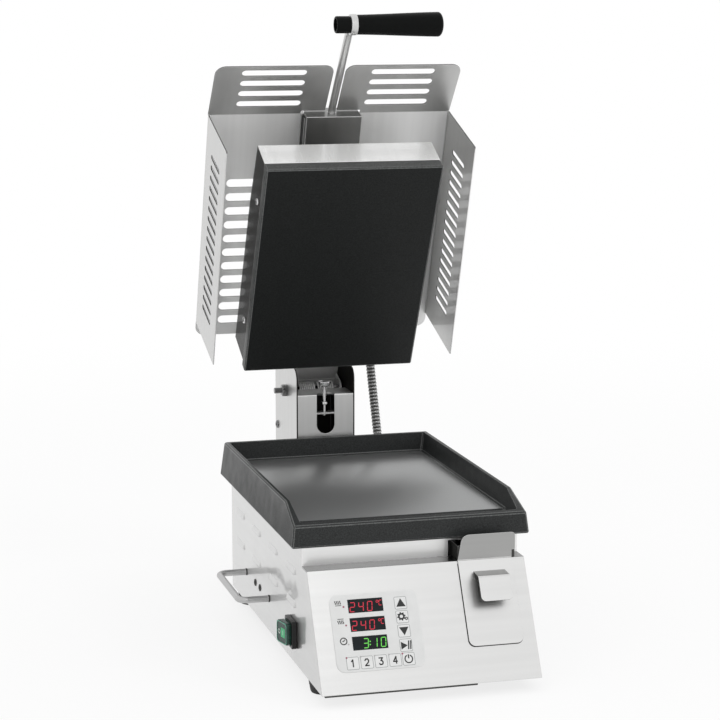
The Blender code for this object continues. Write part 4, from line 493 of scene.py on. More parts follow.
# Colour, roughness, depth of the ripple, specular level
PLASTICS = {
    "plastic_black": ((0.0030, 0.0034, 0.0032), 0.40, GRIP_RIPPLE_DEPTH, 0.08),
    "plastic_bezel": ((0.012, 0.012, 0.012), 0.35, RIPPLE_DEPTH, 0.3),
    "window_smoked": ((0.007, 0.011, 0.013), 0.16, RIPPLE_DEPTH, 0.2),
    "lamp_on": ((0.30, 0.085, 0.13), 0.3, RIPPLE_DEPTH, 0.5),
    "lamp_off": ((0.45, 0.44, 0.44), 0.3, RIPPLE_DEPTH, 0.5),
    "cap_green": ((0.010, 0.045, 0.032), 0.22, RIPPLE_DEPTH, 0.4),
    "cap_rim": ((0.08, 0.36, 0.24), 0.25, RIPPLE_DEPTH, 0.5),
}
FOILS = {
    "foil_grey": (0.73, 0.735, 0.73),
    "foil_key": (0.77, 0.775, 0.77),
    "foil_line": (0.36, 0.37, 0.37),
    "foil_ink": (0.012, 0.013, 0.013),
    "mark_white": (0.62, 0.72, 0.64),
}
# Colour and strength
LAMPS = {
    "lamp_red": ((0.58, 0.018, 0.045), 1.0),
    "lamp_green": ((0.15, 0.68, 0.09), 1.0),
    "cap_lit": ((0.04, 0.42, 0.17), 0.65),
    "rocker_green": ((0.03, 0.30, 0.16), 0.25),
}
# Colour, roughness, tints, roughs and bumps
OTHERS = {
    "rubber_black": (
        (0.022, 0.022, 0.022), 0.7, (DUST, (0.015, 0.015, 0.015), (0.032, 0.032, 0.031)),
        (DUST, -0.1, 0.1), (DUST, 0.3, CAST_DEPTH),
    ),
    "mineral_wool": (
        (0.62, 0.58, 0.48), 0.95, (STRANDS, (0.48, 0.44, 0.34), (0.74, 0.70, 0.60)),
        None, (STRANDS, 0.9, WOOL_DEPTH),
    ),
    "board_green": (
        (0.03, 0.18, 0.07), 0.5, (WEAVE, (0.02, 0.14, 0.05), (0.04, 0.22, 0.09)),
        None, (WEAVE, 0.1, FINE_DEPTH),
    ),
}

# Print on the foil and on the switch cap, as places on the panel's face
FOIL_FACE = GAP + FOIL_THICKNESS
SEGMENTS = {"0": "abcdef", "1": "bc", "2": "abged", "3": "abgcd", "4": "fgbc", "C": "afed", "o": "abgf"}
SEGMENT_PLACES = {
    "a": ((0, 1), (1, 1)),
    "b": ((1, 1), (1, 0.5)),
    "c": ((1, 0.5), (1, 0)),
    "d": ((0, 0), (1, 0)),
    "e": ((0, 0.5), (0, 0)),
    "f": ((0, 1), (0, 0.5)),
    "g": ((0, 0.5), (1, 0.5)),
}
SEGMENT_INSET_SHARE = 0.58
SEGMENT_END_SHARE = 0.8
# Width and height of the raised unit signs, in shares of a digit, and their stroke's share
SMALL_SHARES = {"o": (0.42, 0.46), "C": (0.62, 0.54)}
SMALL_STROKE_SHARE = 0.85
SMALL_RISE = 0.0008
SMALL_GAP = 0.0012
COLON_SHARES = (0.32, 0.66)
COLON_SIZE_SHARE = 0.7
COLON_GAP = 0.0026
# Name, figures, finish, left start and base line
READINGS = (
    ("digits_upper", "240oC", "lamp_red", 0.0020, 0.0016),
    ("digits_middle", "240oC", "lamp_red", 0.0020, 0.0016),
    ("digits_lower", "3:10", "lamp_green", 0.0152, 0.0024),
)
KEY_COLUMN_X = -0.0413
KEY_ROW_DOWN = 0.1257
KEY_COLUMN_DOWN = (0.0454, 0.0654, 0.0856, 0.106)
KEY_ROW_X = (-0.121, -0.1006, -0.0802, -0.0596, -0.0400)
# Corners of each figure's stroke, in shares of its width and height
NUMBER_SHARES = {
    "1": ((0.20, 0.78), (0.55, 1.0), (0.55, 0.0)),
    "2": ((0.05, 0.78), (0.25, 0.98), (0.70, 0.98), (0.93, 0.76), (0.85, 0.52), (0.05, 0.02), (0.95, 0.02)),
    "3": (
        (0.05, 0.98), (0.90, 0.98), (0.45, 0.58), (0.75, 0.56), (0.95, 0.34),
        (0.85, 0.10), (0.60, 0.01), (0.25, 0.01), (0.04, 0.16),
    ),
    "4": ((0.72, 0.0), (0.72, 1.0), (0.02, 0.30), (0.98, 0.30)),
}
STROKE_END_SHARE = 0.7
NUMBER_WIDTH = 0.0058
NUMBER_HEIGHT = 0.0096
NUMBER_STROKE = 0.0018
# Key of the column, shift right, shift up, size, and turn or number of teeth
ARROWS = (
    (0, 0.0002, -0.0014, 0.0079, math.pi / 2),
    (2, 0.0, 0.0014, 0.0079, -math.pi / 2),
    (3, -0.0040, -0.0004, 0.0064, 0.0),
)
GEARS = ((1, -0.0012, 0.0006, 0.0063, 8), (1, 0.0058, -0.0028, 0.0026, 7))
GEAR_ROOT_SHARE = 0.76
GEAR_BORE_SHARE = 0.38
PAUSE_SHIFTS = (0.0038, 0.0069)
PAUSE_WIDTH = 0.0019
PAUSE_HEIGHT = 0.0124
PAUSE_SLANT_SHARE = 0.12
POWER_RADIUS = 0.0063
POWER_STROKE = 0.0017
POWER_ARC = (math.radians(112), math.radians(428))
POWER_BAR = (0.0036, 0.0018, 0.0058)
# Middle of the bar and of the waves of each heat sign
HEAT_SIGNS = (((-0.1227, -0.0520), (-0.1230, -0.0478)), ((-0.1217, -0.0713), (-0.1219, -0.0757)))
HEAT_BAR = (0.0088, 0.0009)
HEAT_WAVES = 4
HEAT_PITCH = 0.0024
HEAT_WAVE = (0.0052, 0.0005, 0.0013)
WAVE_STEPS = 14
CLOCK = (-0.1211, -0.1029)
CLOCK_RADII = (0.0054, 0.0039)
CLOCK_HANDS = ((-0.1194, -0.1010), (-0.1226, -0.1029))
CLOCK_STROKE = 0.0013
LAMPS_ON = ((-0.1152, 0.0543), (-0.1148, 0.0808), (-0.120, 0.1265), (-0.0392, 0.1267))
LAMPS_OFF = ((-0.1146, 0.1078), (-0.0998, 0.1265), (-0.0794, 0.1265), (-0.0588, 0.1265))
# Name, places, finish and share of a lamp's radius
LAMP_DOTS = (
    ("lamps_lit", LAMPS_ON, "lamp_on", 1.0),
    ("lamps_dark", LAMPS_OFF, "lamp_off", 0.9),
)
PRINT_EDGE = 0.00001
# Half width, corner radius, share of the face's level, and height added to that
CAP_RINGS = (
    (0.0170, 0.0040, 0.0, 0.0),
    (0.0168, 0.0040, 0.0, 0.0014),
    (0.0152, 0.0035, 0.0, 0.0018),
    (0.0152, 0.0035, 0.0, 0.0026),
    (0.0166, 0.0045, 0.0, 0.0031),
    (0.0166, 0.0050, 1.0, -0.0018),
    (0.0162, 0.0050, 1.0, -0.0007),
    (0.0154, 0.0048, 1.0, -0.0001),
    (0.0146, 0.0045, 1.0, 0.0),
    (0.0134, 0.0040, 1.0, -0.0001),
    (0.0130, 0.0038, 1.0, -CAP_SINK),
)
# Left and right ends, half height and corner of the cap's painted border, outside and inside
BORDER = (((-0.0158, 0.0158), 0.0158, 0.0048), ((-0.0147, 0.0149), 0.0147, 0.0044))

# CAD nodes with softened edges: finish, body, slot, edge and segments
ARM_FOOT_Z = 0.420
FLOOR_LOW = 0.004
FLOOR_HIGH = 0.0245
FLAT_ANGLE = math.radians(0.3)
SHARP_ANGLE = math.radians(30)
DRESSED = (
    ("body_shell", "steel_sheet", "root", "stainless", 0.0006, 2),
    ("control_panel", "steel_panel", "root", "stainless", 0.0007, 3),
    ("lower_plate", "enamel_tray", "root", "black_enamel", 0.0011, 3),
    ("drawer_tray", "steel_sheet", "drawer", "stainless", 0.0004, 2),
    ("switch_bezel", "plastic_bezel", "root", "black_plastic", 0.0008, 3),
    ("post_back_cover", "steel_post", "root", "stainless", 0.0004, 2),
    ("screw_bridge", "steel_bright", "root", "stainless", 0.0004, 2),
    # The lift arm's finish is a painted dark reflection; its foot and the hinge bracket take the lighter
    # copy
    ("lift_arm", "steel_arm_painted_reflection", "lid", "stainless", 0.0008, 3),
    ("hinge_bracket", "steel_lighter_arm_foot", "lid", "dark_steel", 0.0005, 2),
    ("upper_plate", "enamel_plate", "head", "black_enamel", 0.0008, 2),
    ("upper_housing", "steel_housing", "head", "stainless", 0.0012, 3),
)
# Finish of rounded edges, lighter than the faces: a painted highlight
EDGES_FIRST = {"lower_plate": "enamel_edge_painted_highlight", "upper_plate": "enamel_edge_painted_highlight", "lift_arm": "steel_bright"}
# Finish of the CAD nodes that are kept as they are
REPAINTED = {
    # Painted shade on the sheets inside the body
    "steel_inside_painted_shade": ("bottom_plate", "drawer_rail_left", "drawer_rail_right", "post_mount"),
    "window_smoked": ("display_upper", "display_middle", "display_lower"),
    "board_green": ("display_board",),
    "foil_grey": ("control_foil",),
    "steel_dark": ("lower_element", "upper_element"),
    "steel_sheet": ("heat_shield",),
    "steel_bright": ("temperature_probe", "grip_spindle", "swivel_pin"),
    "plastic_bezel": ("mains_gland",),
    # The lugs share the arm's painted dark reflection
    "steel_arm_painted_reflection": ("arm_lugs",),
    "steel_housing": ("head_yoke",),
    "mineral_wool": ("insulation_block",),
    "rocker_green": ("power_rocker",),
}

# Stage
FLOOR_SIZE = 60.0
FLOOR_COLOUR = (0.93, 0.93, 0.93)
FLOOR_ROUGHNESS = 0.9
FLOOR_GLOW_SHARE = 0.80
FLOOR_FADE_START = 0.9
FLOOR_FADE_END = 3.0
WORLD_DIFFUSE = 0.80
# Name, place, aim, size, power, and whether mirrors show it
LIGHTS = (
    ("key_light", (2.3, -2.2, 3.0), (0.0, 0.0, 0.35), 1.0, 15.0, False),
    ("fill_light", (-2.6, -2.4, 2.0), (0.0, 0.0, 0.35), 2.2, 7.0, False),
    ("gloss_light", (-0.2, -1.8, 1.5), (-0.1, -0.35, 0.10), 0.5, 2.0, True),
    ("top_light", (0.2, 0.8, 3.2), (0.0, 0.0, 0.3), 2.0, 12.0, False),
)


# Camera
def make_camera():
    data = bpy.data.cameras.new("camera")
    data.lens = CAMERA_LENS
    data.sensor_width = CAMERA_SENSOR
    camera = bpy.data.objects.new("camera", data)
    camera.location = CAMERA_PLACE
    camera.rotation_euler = [math.radians(turn) for turn in CAMERA_TURN]
    bpy.context.scene.collection.objects.link(camera)
    bpy.context.scene.camera = camera


# Materials
def add_node(tree, kind, values=None, links=None):
    """A shader node with the given socket values, fed by the given outputs."""
    node = tree.nodes.new("ShaderNode" + kind)
    for socket, value in (values or {}).items():
        node.inputs[socket].default_value = value
    for socket, output in (links or {}).items():
        tree.links.new(output, node.inputs[socket])
    return node


def new_material(name, colour, roughness, metal=0.0, **sockets):
    material = bpy.data.materials.new(name)
    material.use_nodes = True
    shader = shader_of(material)
    shader.inputs["Base Color"].default_value = (*colour, 1.0)
    shader.inputs["Roughness"].default_value = roughness
    shader.inputs["Metallic"].default_value = metal
    for socket, value in sockets.items():
        shader.inputs[socket.replace("_", " ")].default_value = value
    material.diffuse_color = (*colour, 1.0)
    FINISH[name] = material
    return material


def shader_of(material):
    return material.node_tree.nodes["Principled BSDF"]


def grain(material, sizes, turn=0.0, detail=3.0):
    """A noise whose specks have the given sizes along the axes, turned about X."""
    tree = material.node_tree
    place = add_node(tree, "TexCoord").outputs["Object"]
    mapping = add_node(tree, "Mapping", {"Rotation": (turn, 0, 0), "Scale": sizes}, {"Vector": place})
    mapping.vector_type = "TEXTURE"
    turned = mapping.outputs["Vector"]
    return add_node(tree, "TexNoise", {"Scale": 1.0, "Detail": detail}, {"Vector": turned}).outputs["Fac"]


def spread(material, value, low, high):
    """A value taken from low to high as the noise goes through its middle part."""
    ends = {"From Min": NOISE_SHARES[0], "From Max": NOISE_SHARES[1], "To Min": low, "To Max": high}
    return add_node(material.node_tree, "MapRange", ends, {"Value": value}).outputs["Result"]


def tint(material, value, dark, light):
    """A base colour between dark and light, by a noise."""
    tree = material.node_tree
    mix = tree.nodes.new("ShaderNodeMix")
    mix.data_type = "RGBA"
    colours = [socket for socket in mix.inputs if socket.type == "RGBA"]
    colours[0].default_value = (*dark, 1.0)
    colours[1].default_value = (*light, 1.0)
    tree.links.new(spread(material, value, 0.0, 1.0), mix.inputs["Factor"])
    result = [socket for socket in mix.outputs if socket.type == "RGBA"][0]
    tree.links.new(result, shader_of(material).inputs["Base Color"])


def rough(material, value, low, high):
    socket = shader_of(material).inputs["Roughness"]
    material.node_tree.links.new(spread(material, value, low, high), socket)


def bump(material, value, strength, distance):
    """Raises the surface by a noise, on top of any bump that it has."""
    socket = shader_of(material).inputs["Normal"]
    links = {"Height": value}
    if socket.is_linked:
        links["Normal"] = socket.links[0].from_socket
    tree = material.node_tree
    node = add_node(tree, "Bump", {"Strength": strength, "Distance": distance}, links)
    tree.links.new(node.outputs["Normal"], socket)


def shade(colour, share):
    return tuple(min(1.0, part * share) for part in colour)


def grained(name, colour, roughness, tints, roughs=None, bumps=None, metal=0.0, **sockets):
    """A surface whose tint, roughness and height follow noises.

    tints is a noise, a dark and a light colour, roughs a noise and the change down and up,
    bumps a noise, its strength and its depth.
    """
    material = new_material(name, colour, roughness, metal, **sockets)
    noise, dark, light = tints
    tint(material, grain(material, *noise), dark, light)
    if roughs:
        noise, low, high = roughs
        rough(material, grain(material, *noise), max(LEAST_ROUGHNESS, roughness + low), roughness + high)
    if bumps:
        noise, strength, depth = bumps
        bump(material, grain(material, *noise), strength, depth)
    return material


def brushed_steel(
    name, colour, roughness, along, turn=0.0, wave=0.0, mirror=0.7, metal=1.0, skin=1.5, edge=1.0
):
    """Rolled steel: fine lines along one axis, soft bands, and a smooth skin that mirrors a little."""
    fine = [STEEL_LINE] * 3
    fine[along] = STEEL_LINE_LENGTH
    broad = [STEEL_BAND] * 3
    broad[along] = STEEL_BAND_LENGTH
    dark = shade(colour, 1 - STEEL_TINT_SHARE)
    light = shade(colour, 1 + STEEL_TINT_SHARE)
    tints = ((broad, turn, 1.0), dark, light)
    roughs = ((fine, turn), -STEEL_ROUGH_SPREAD, STEEL_ROUGH_SPREAD)
    bumps = ((fine, turn), STEEL_LINE_SHARE, STEEL_LINE_DEPTH)
    coat = {"Coat_Weight": mirror, "Coat_Roughness": STEEL_SKIN_ROUGHNESS, "Coat_IOR": skin}
    tone = (edge, edge, edge, 1.0)
    material = grained(name, colour, roughness, tints, roughs, bumps, metal, Specular_Tint=tone, **coat)
    if wave:
        bump(material, grain(material, (STEEL_WAVE_LENGTH,) * 3, turn, 1.0), 1.0, wave)
        sockets = shader_of(material).inputs
        material.node_tree.links.new(sockets["Normal"].links[0].from_socket, sockets["Coat Normal"])


def make_materials():
    for name, (colour, roughness, along, changes) in BRUSHED.items():
        brushed_steel(name, colour, roughness, along, **changes)
    for name, (colour, roughness) in POLISHED.items():
        tints = (MARKS, shade(colour, 0.93), shade(colour, 1.03))
        grained(name, colour, roughness, tints, (MARKS, -0.05, 0.08), (SPECKS, 0.05, FINE_DEPTH), 1.0)
    for name, (colour, roughness, strength, specular, wear, metal) in ENAMELS.items():
        tints = (CASTING, shade(colour, 1 - 0.55 * wear), shade(colour, 1 + 0.80 * wear))
        roughs = (PATCHES, -0.05 * wear, 0.06 * wear)
        bumps = (CASTING, strength, CAST_DEPTH)
        grained(name, colour, roughness, tints, roughs, bumps, metal, Specular_IOR_Level=specular)
    for name, (colour, roughness, depth, specular) in PLASTICS.items():
        tints = (RIPPLES, shade(colour, 0.85), shade(colour, 1.2))
        bumps = (RIPPLES, 0.03, depth)
        grained(name, colour, roughness, tints, (RIPPLES, -0.04, 0.06), bumps, Specular_IOR_Level=specular)
    for name, colour in FOILS.items():
        tints = (CLOUDS, shade(colour, 0.97), shade(colour, 1.02))
        grained(name, colour, 0.38, tints, (PEARL, -0.06, 0.08), (PEARL, 0.08, FINE_DEPTH))
    for name, (colour, strength) in LAMPS.items():
        lit = {"Emission_Color": (*colour, 1.0), "Emission_Strength": strength}
        tints = (GLOW_CLOUDS, shade(colour, 0.1), shade(colour, 0.2))
        grained(name, shade(colour, 0.15), 0.4, tints, **lit)
    for name, (colour, roughness, *noises) in OTHERS.items():
        grained(name, colour, roughness, *noises)


# Mesh helpers
def add_object(name, mesh, finish, body, replaced=None, sheared=False):
    """A piece from a mesh; its sheared edges may have the dark finish of a cut, dark oxide darkened further
    as painted shade in slits and gaps.
    """
    piece = bpy.data.objects.new(name, mesh)
    bpy.context.scene.collection.objects.link(piece)
    mesh.materials.append(FINISH[finish])
    if sheared:
        mesh.materials.append(FINISH["steel_cut_oxide_and_shade"])
    else:
        mesh.polygons.foreach_set("material_index", [0] * len(mesh.polygons))
    mesh.shade_smooth()
    mesh.set_sharp_from_angle(angle=SMOOTH_ANGLE)
    piece.modifiers.new("weighted", "WEIGHTED_NORMAL").keep_sharp = True
    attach(piece, body)
    if replaced:
        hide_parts(replaced)
    return piece


def second_finish(piece, finish, chosen):
    """A second material on the faces that the test picks."""
    mesh = piece.data
    mesh.materials.append(FINISH[finish])
    for face in mesh.polygons:
        if chosen(face):
            face.material_index = len(mesh.materials) - 1


def edge_finish(piece, finish):
    """A second material on the rounded edges of a dressed node."""
    piece.data.materials.append(FINISH[finish])
    piece.modifiers["edges"].material = len(piece.data.materials) - 1


def split_at(piece, level):
    """Cuts the faces of a piece along one height, so that each part can have its own finish."""
    mesh_data = bmesh.new()
    mesh_data.from_mesh(piece.data)
    parts = list(mesh_data.verts) + list(mesh_data.edges) + list(mesh_data.faces)
    bmesh.ops.bisect_plane(mesh_data, geom=parts, plane_co=(0, 0, level), plane_no=UP)
    mesh_data.to_mesh(piece.data)
    mesh_data.free()


def finish_mesh(mesh_data, name):
    bmesh.ops.recalc_face_normals(mesh_data, faces=mesh_data.faces)
    mesh = bpy.data.meshes.new(name)
    mesh_data.to_mesh(mesh)
    mesh_data.free()
    return mesh


def bevelled(piece, width, segments):
    modifier = piece.modifiers.new("edges", "BEVEL")
    modifier.width = width
    modifier.segments = segments
    return modifier


def thickened(piece, thickness):
    modifier = piece.modifiers.new("thickness", "SOLIDIFY")
    modifier.thickness = thickness
    modifier.offset = -1


def dressed(node, finish, body, slot, width, segments):
    """A copy of a CAD node with its sharp edges rounded, standing in for the node."""
    mesh_data = bmesh.new()
    mesh_data.from_mesh(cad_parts[node].data)
    bmesh.ops.remove_doubles(mesh_data, verts=mesh_data.verts, dist=MERGE)
    parts = {"verts": mesh_data.verts, "edges": mesh_data.edges}
    bmesh.ops.dissolve_limit(mesh_data, angle_limit=FLAT_ANGLE, **parts)
    name = node + "_dressed"
    piece = add_object(name, finish_mesh(mesh_data, name), finish, body, node)
    piece.modifiers.remove(piece.modifiers["weighted"])
    modifier = bevelled(piece, width, segments)
    modifier.limit_method = "ANGLE"
    modifier.angle_limit = SHARP_ANGLE
    modifier.harden_normals = True
    return piece


def rounded(corners, steps=10):
    """The outline through corners (u, v, radius), with each corner turned into an arc."""
    outline = []
    for index, (u, v, radius) in enumerate(corners):
        if radius == 0:
            outline.append((u, v))
            continue
        corner = Vector((u, v))
        before = (Vector(corners[index - 1][:2]) - corner).normalized()
        after = (Vector(corners[(index + 1) % len(corners)][:2]) - corner).normalized()
        half = before.angle(after) / 2
        centre = corner + (before + after).normalized() * radius / math.sin(half)
        start = corner + before * radius / math.tan(half) - centre
        sign = -1 if before.cross(after) > 0 else 1
        for step in range(steps + 1):
            angle = sign * (math.pi - 2 * half) * step / steps
            outline.append((
                centre.x + start.x * math.cos(angle) - start.y * math.sin(angle),
                centre.y + start.x * math.sin(angle) + start.y * math.cos(angle),
            ))
    return outline


def rectangle(u, v, radius=0.0, steps=8, top=None):
    """An outline whose upper corners may have a radius of their own."""
    high = radius if top is None else top
    corners = [(u[0], v[0], radius), (u[1], v[0], radius), (u[1], v[1], high), (u[0], v[1], high)]
    return rounded(corners, steps)


def arc(u, v, radius, start, end, steps):
    """Points on part of a circle, with both ends."""
    outline = []
    for step in range(steps + 1):
        angle = start + (end - start) * step / steps
        outline.append((u + radius * math.cos(angle), v + radius * math.sin(angle)))
    return outline


def circle(u, v, radius, steps=32):
    return arc(u, v, radius, 0, 2 * math.pi, steps)[:-1]


def slots(u, first, pitch, height, count, steps=12):
    """Outlines of slots with round ends, long in u, in a row."""
    outlines = []
    half = height / 2
    for index in range(count):
        middle = first + pitch * index
        right = arc(u[1] - half, middle, half, -math.pi / 2, math.pi / 2, steps)
        outlines.append(right + arc(u[0] + half, middle, half, math.pi / 2, 3 * math.pi / 2, steps))
    return outlines


def area_of(outline):
    total = 0
    for index, (u, v) in enumerate(outline):
        after = outline[(index + 1) % len(outline)]
        total += u * after[1] - after[0] * v
    return total / 2


def flat_panel(outer, holes, low, high, place, edge=EDGE):
    """Sheet between two levels, with holes, softened edges, and a place in the row frame."""
    curve = bpy.data.curves.new("panel_outline", "CURVE")
    curve.dimensions = "2D"
    curve.fill_mode = "BOTH"
    for outline, sign in [(outer, 1)] + [(hole, -1) for hole in holes]:
        points = list(outline)
        if area_of(points) * sign < 0:
            points.reverse()
        spline = curve.splines.new("POLY")
        spline.points.add(len(points) - 1)
        for point, (u, v) in zip(spline.points, points):
            point.co = (u, v, 0, 1)
        spline.use_cyclic_u = True
    edge = min(edge, (high - low) * PANEL_EDGE_SHARE)
    curve.extrude = (high - low) / 2 - edge
    curve.bevel_depth = edge
    curve.bevel_resolution = 1
    curve.offset = -edge
    carrier = bpy.data.objects.new("panel_outline", curve)
    bpy.context.scene.collection.objects.link(carrier)
    graph = bpy.context.evaluated_depsgraph_get()
    mesh = bpy.data.meshes.new_from_object(carrier.evaluated_get(graph))
    bpy.data.objects.remove(carrier, do_unlink=True)
    # Cut edges take the second material, dark oxide with painted shade
    for face in mesh.polygons:
        face.material_index = int(abs(face.normal.z) < SHEARED_SHARE)
    mesh.transform(place @ Matrix.Translation((0, 0, (low + high) / 2)))
    return mesh


def joined(meshes, name, merged=True):
    mesh_data = bmesh.new()
    for mesh in meshes:
        mesh_data.from_mesh(mesh)
        bpy.data.meshes.remove(mesh)
    if merged:
        bmesh.ops.remove_doubles(mesh_data, verts=mesh_data.verts, dist=MERGE)
    return finish_mesh(mesh_data, name)


def skin(mesh_data, first, second, loop=True):
    """Four-sided faces between two rows of points, which may be loops."""
    for step in range(len(first) if loop else len(first) - 1):
        after = (step + 1) % len(first)
        mesh_data.faces.new((first[step], first[after], second[after], second[step]))


def turned_between(first, second, turn, share):
    """An arm part of the way round from the first arm to the second."""
    return (first * math.sin(turn * (1 - share)) + second * math.sin(turn * share)) / math.sin(turn)


def fold(corner, first, second, along, ends, radius=BEND, thickness=WALL, place=LEVEL, steps=6):
    """The bend between two sheets whose outer faces would meet at corner, as a mesh.

    first and second are the outer faces' normals, along is the bend's line.
    """
    first = Vector(first).normalized()
    second = Vector(second).normalized()
    centre = Vector(corner) - (first + second) * radius / (1 + first.dot(second))
    turn = first.angle(second)
    low, high = ends
    thin = radius - thickness
    mesh_data = bmesh.new()
    rings = []
    for step in range(steps + 1):
        normal = turned_between(first, second, turn, step / steps)
        ring = []
        for level, reach in ((low, radius), (high, radius), (high, thin), (low, thin)):
            ring.append(mesh_data.verts.new(place @ (centre + normal * reach + along * level)))
        rings.append(ring)
    for before, after in zip(rings, rings[1:]):
        skin(mesh_data, before, after)
    mesh_data.faces.new(rings[0])
    mesh_data.faces.new(rings[-1])
    return finish_mesh(mesh_data, "fold")


def setback(first, second, radius=BEND):
    """How far a bend's arc starts from the corner where the flat faces would meet."""
    return radius * math.tan(Vector(first).angle(Vector(second)) / 2)


def profiled(shares, radius, length, start=0.0):
    """Rows of shares as a profile of (radius, along)."""
    return [(radius * out, start + length * along) for out, along in shares]


def edged(shares, radius, edge, start, turn=1):
    """Rows of an edge's shares as a profile; turn is -1 where the edge comes last."""
    rows = [(radius + edge * out, start + turn * edge * along) for out, along in shares]
    return rows[::turn]


def lathe(profile, axis, place, steps=ROUND, closed=False):
    """A mesh turned from a profile of (radius, along)."""
    turn = place @ AXIS_TURNS[axis]
    mesh_data = bmesh.new()
    rings = []
    for radius, along in profile:
        points = circle(0, 0, radius, steps) if radius else [(0, 0)]
        rings.append([mesh_data.verts.new(turn @ Vector((u, v, along))) for u, v in points])
    pairs = list(zip(rings, rings[1:]))
    if closed:
        pairs.append((rings[-1], rings[0]))
    for first, second in pairs:
        if len(first) == len(second):
            skin(mesh_data, first, second)
            continue
        tip, ring = sorted((first, second), key=len)
        for step in range(steps):
            mesh_data.faces.new((tip[0], ring[step], ring[(step + 1) % steps]))
    if not closed:
        for ring in (rings[0], rings[-1]):
            if len(ring) > 1:
                mesh_data.faces.new(ring)
    return finish_mesh(mesh_data, "lathe")


def swept(points, radii, sides, bore=0.0):
    """A tube along points, with the radius given for each of them."""
    mesh_data = bmesh.new()
    spokes = []
    side = None
    for index in range(len(points)):
        run = (points[min(index + 1, len(points) - 1)] - points[max(index - 1, 0)]).normalized()
        side = side or run.orthogonal().normalized()
        side = (side - run * side.dot(run)).normalized()
        across = run.cross(side)
        spokes.append([side * u + across * v for u, v in circle(0, 0, 1, sides)])

    def tube(sizes):
        rings = []
        for point, arms, size in zip(points, spokes, sizes):
            rings.append([mesh_data.verts.new(point + arm * size) for arm in arms])
        for first, second in zip(rings, rings[1:]):
            skin(mesh_data, first, second)
        return rings

    outer = tube(radii)
    if bore:
        inner = tube([bore] * len(points))
        skin(mesh_data, inner[0], outer[0])
        skin(mesh_data, outer[-1], inner[-1])
    else:
        mesh_data.faces.new(outer[0])
        mesh_data.faces.new(outer[-1])
    return finish_mesh(mesh_data, "swept")


def smooth_path(points, spacing):
    """Points at an even spacing along a smooth curve through the given ones."""
    fine = []
    for index in range(len(points) - 1):
        before = points[max(index - 1, 0)]
        start = points[index]
        end = points[index + 1]
        after = points[min(index + 2, len(points) - 1)]
        for step in range(PATH_STEPS):
            t = step / PATH_STEPS
            fine.append((
                2 * start
                + (end - before) * t
                + (2 * before - 5 * start + 4 * end - after) * t * t
                + (3 * start - before - 3 * end + after) * t * t * t
            ) / 2)
    fine.append(points[-1])
    lengths = [0.0]
    for first, second in zip(fine, fine[1:]):
        lengths.append(lengths[-1] + (second - first).length)
    count = max(2, round(lengths[-1] / spacing))
    even = []
    place = 0
    for step in range(count + 1):
        goal = lengths[-1] * step / count
        while place < len(fine) - 2 and lengths[place + 1] < goal:
            place += 1
        share = (goal - lengths[place]) / (lengths[place + 1] - lengths[place])
        even.append(fine[place].lerp(fine[place + 1], share))
    return even


def on_side(sign, x, y, z):
    """A place on the left or right side, whose X axis points out of that side."""
    place = Matrix.Translation((sign * x, y, z))
    return place if sign > 0 else place @ Matrix.Rotation(math.pi, 4, "Z")


def outward_of(place):
    """The direction out of the front of a turned body."""
    return place.to_3x3() @ FRONT


def add_turned(name, profile, axis, place, finish, body, node=None, slot="bright_steel", **options):
    """A piece made on the lathe."""
    return add_object(name, lathe(profile, axis, place, **options), finish, body, node)


# Hose between the body and the lift arm
def hose_route():
    body_end = Vector((HOSE_BODY_X, BODY_BACK_Y + 2 * GAP + GLAND_FLANGE, HOSE_BODY_Z))
    arm_end = ARM_PLACE @ Vector((ARM_HALF + 2 * GAP + GLAND_FLANGE, HOSE_ARM_BACK, HOSE_ARM_UP))
    route = [body_end + BACK * HOSE_PLUNGE * step for step in (0, 1, 2)]
    route += [Vector(point) for point in HOSE_MIDDLE]
    return route + [arm_end + RIGHT * HOSE_PLUNGE * step for step in (2, 1, 0)]


def make_hose():
    """Annular ribs along the route, with the bore open."""
    points = smooth_path(hose_route(), HOSE_PITCH / RIB_STEPS)
    middle = (HOSE_RADIUS + HOSE_GROOVE_RADIUS) / 2
    swing = (HOSE_RADIUS - HOSE_GROOVE_RADIUS) / 2

    def rib(ring):
        return math.cos(2 * math.pi * ring / RIB_STEPS)

    radii = []
    for ring in range(len(points)):
        radii.append(middle + swing * math.copysign(abs(rib(ring)) ** RIB_POWER, rib(ring)))
    mesh = swept(points, radii, HOSE_SIDES, HOSE_BORE_RADIUS)
    piece = bpy.data.objects.new("hose_ribbed", mesh)
    bpy.context.scene.collection.objects.link(piece)
    # The grooves between the ribs take painted shade.
    for finish in ("steel_hose", "steel_groove_painted_shade"):
        mesh.materials.append(FINISH[finish])
    for index, face in enumerate(mesh.polygons):
        ring = index // HOSE_SIDES
        face.material_index = int(ring < len(points) - 1 and rib(ring + 0.5) < RIB_GROOVE_SHARE)
    mesh.shade_smooth()
    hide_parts("conduit_hose")
    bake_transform(piece)


def make_glands():
    profile = [
        (HOSE_BORE_RADIUS, 0),
        (HOSE_BORE_RADIUS, GLAND_FLANGE),
        (GLAND_BORE_RADIUS, GLAND_FLANGE),
        (GLAND_BORE_RADIUS, GLAND_LENGTH),
        *profiled(GLAND_SHARES, GLAND_RADIUS, GLAND_LENGTH),
    ]
    on_body = Matrix.Translation((HOSE_BODY_X, BODY_BACK_Y + GAP, HOSE_BODY_Z))
    on_arm = ARM_PLACE @ Matrix.Translation((ARM_HALF + GAP, HOSE_ARM_BACK, HOSE_ARM_UP))
    for side, axis, place, body in (("body", "Y", on_body, "root"), ("arm", "X", on_arm, "lid")):
        node = "hose_gland_" + side
        add_turned(node + "_turned", profile, axis, place, "steel_bright", body, node, closed=True)


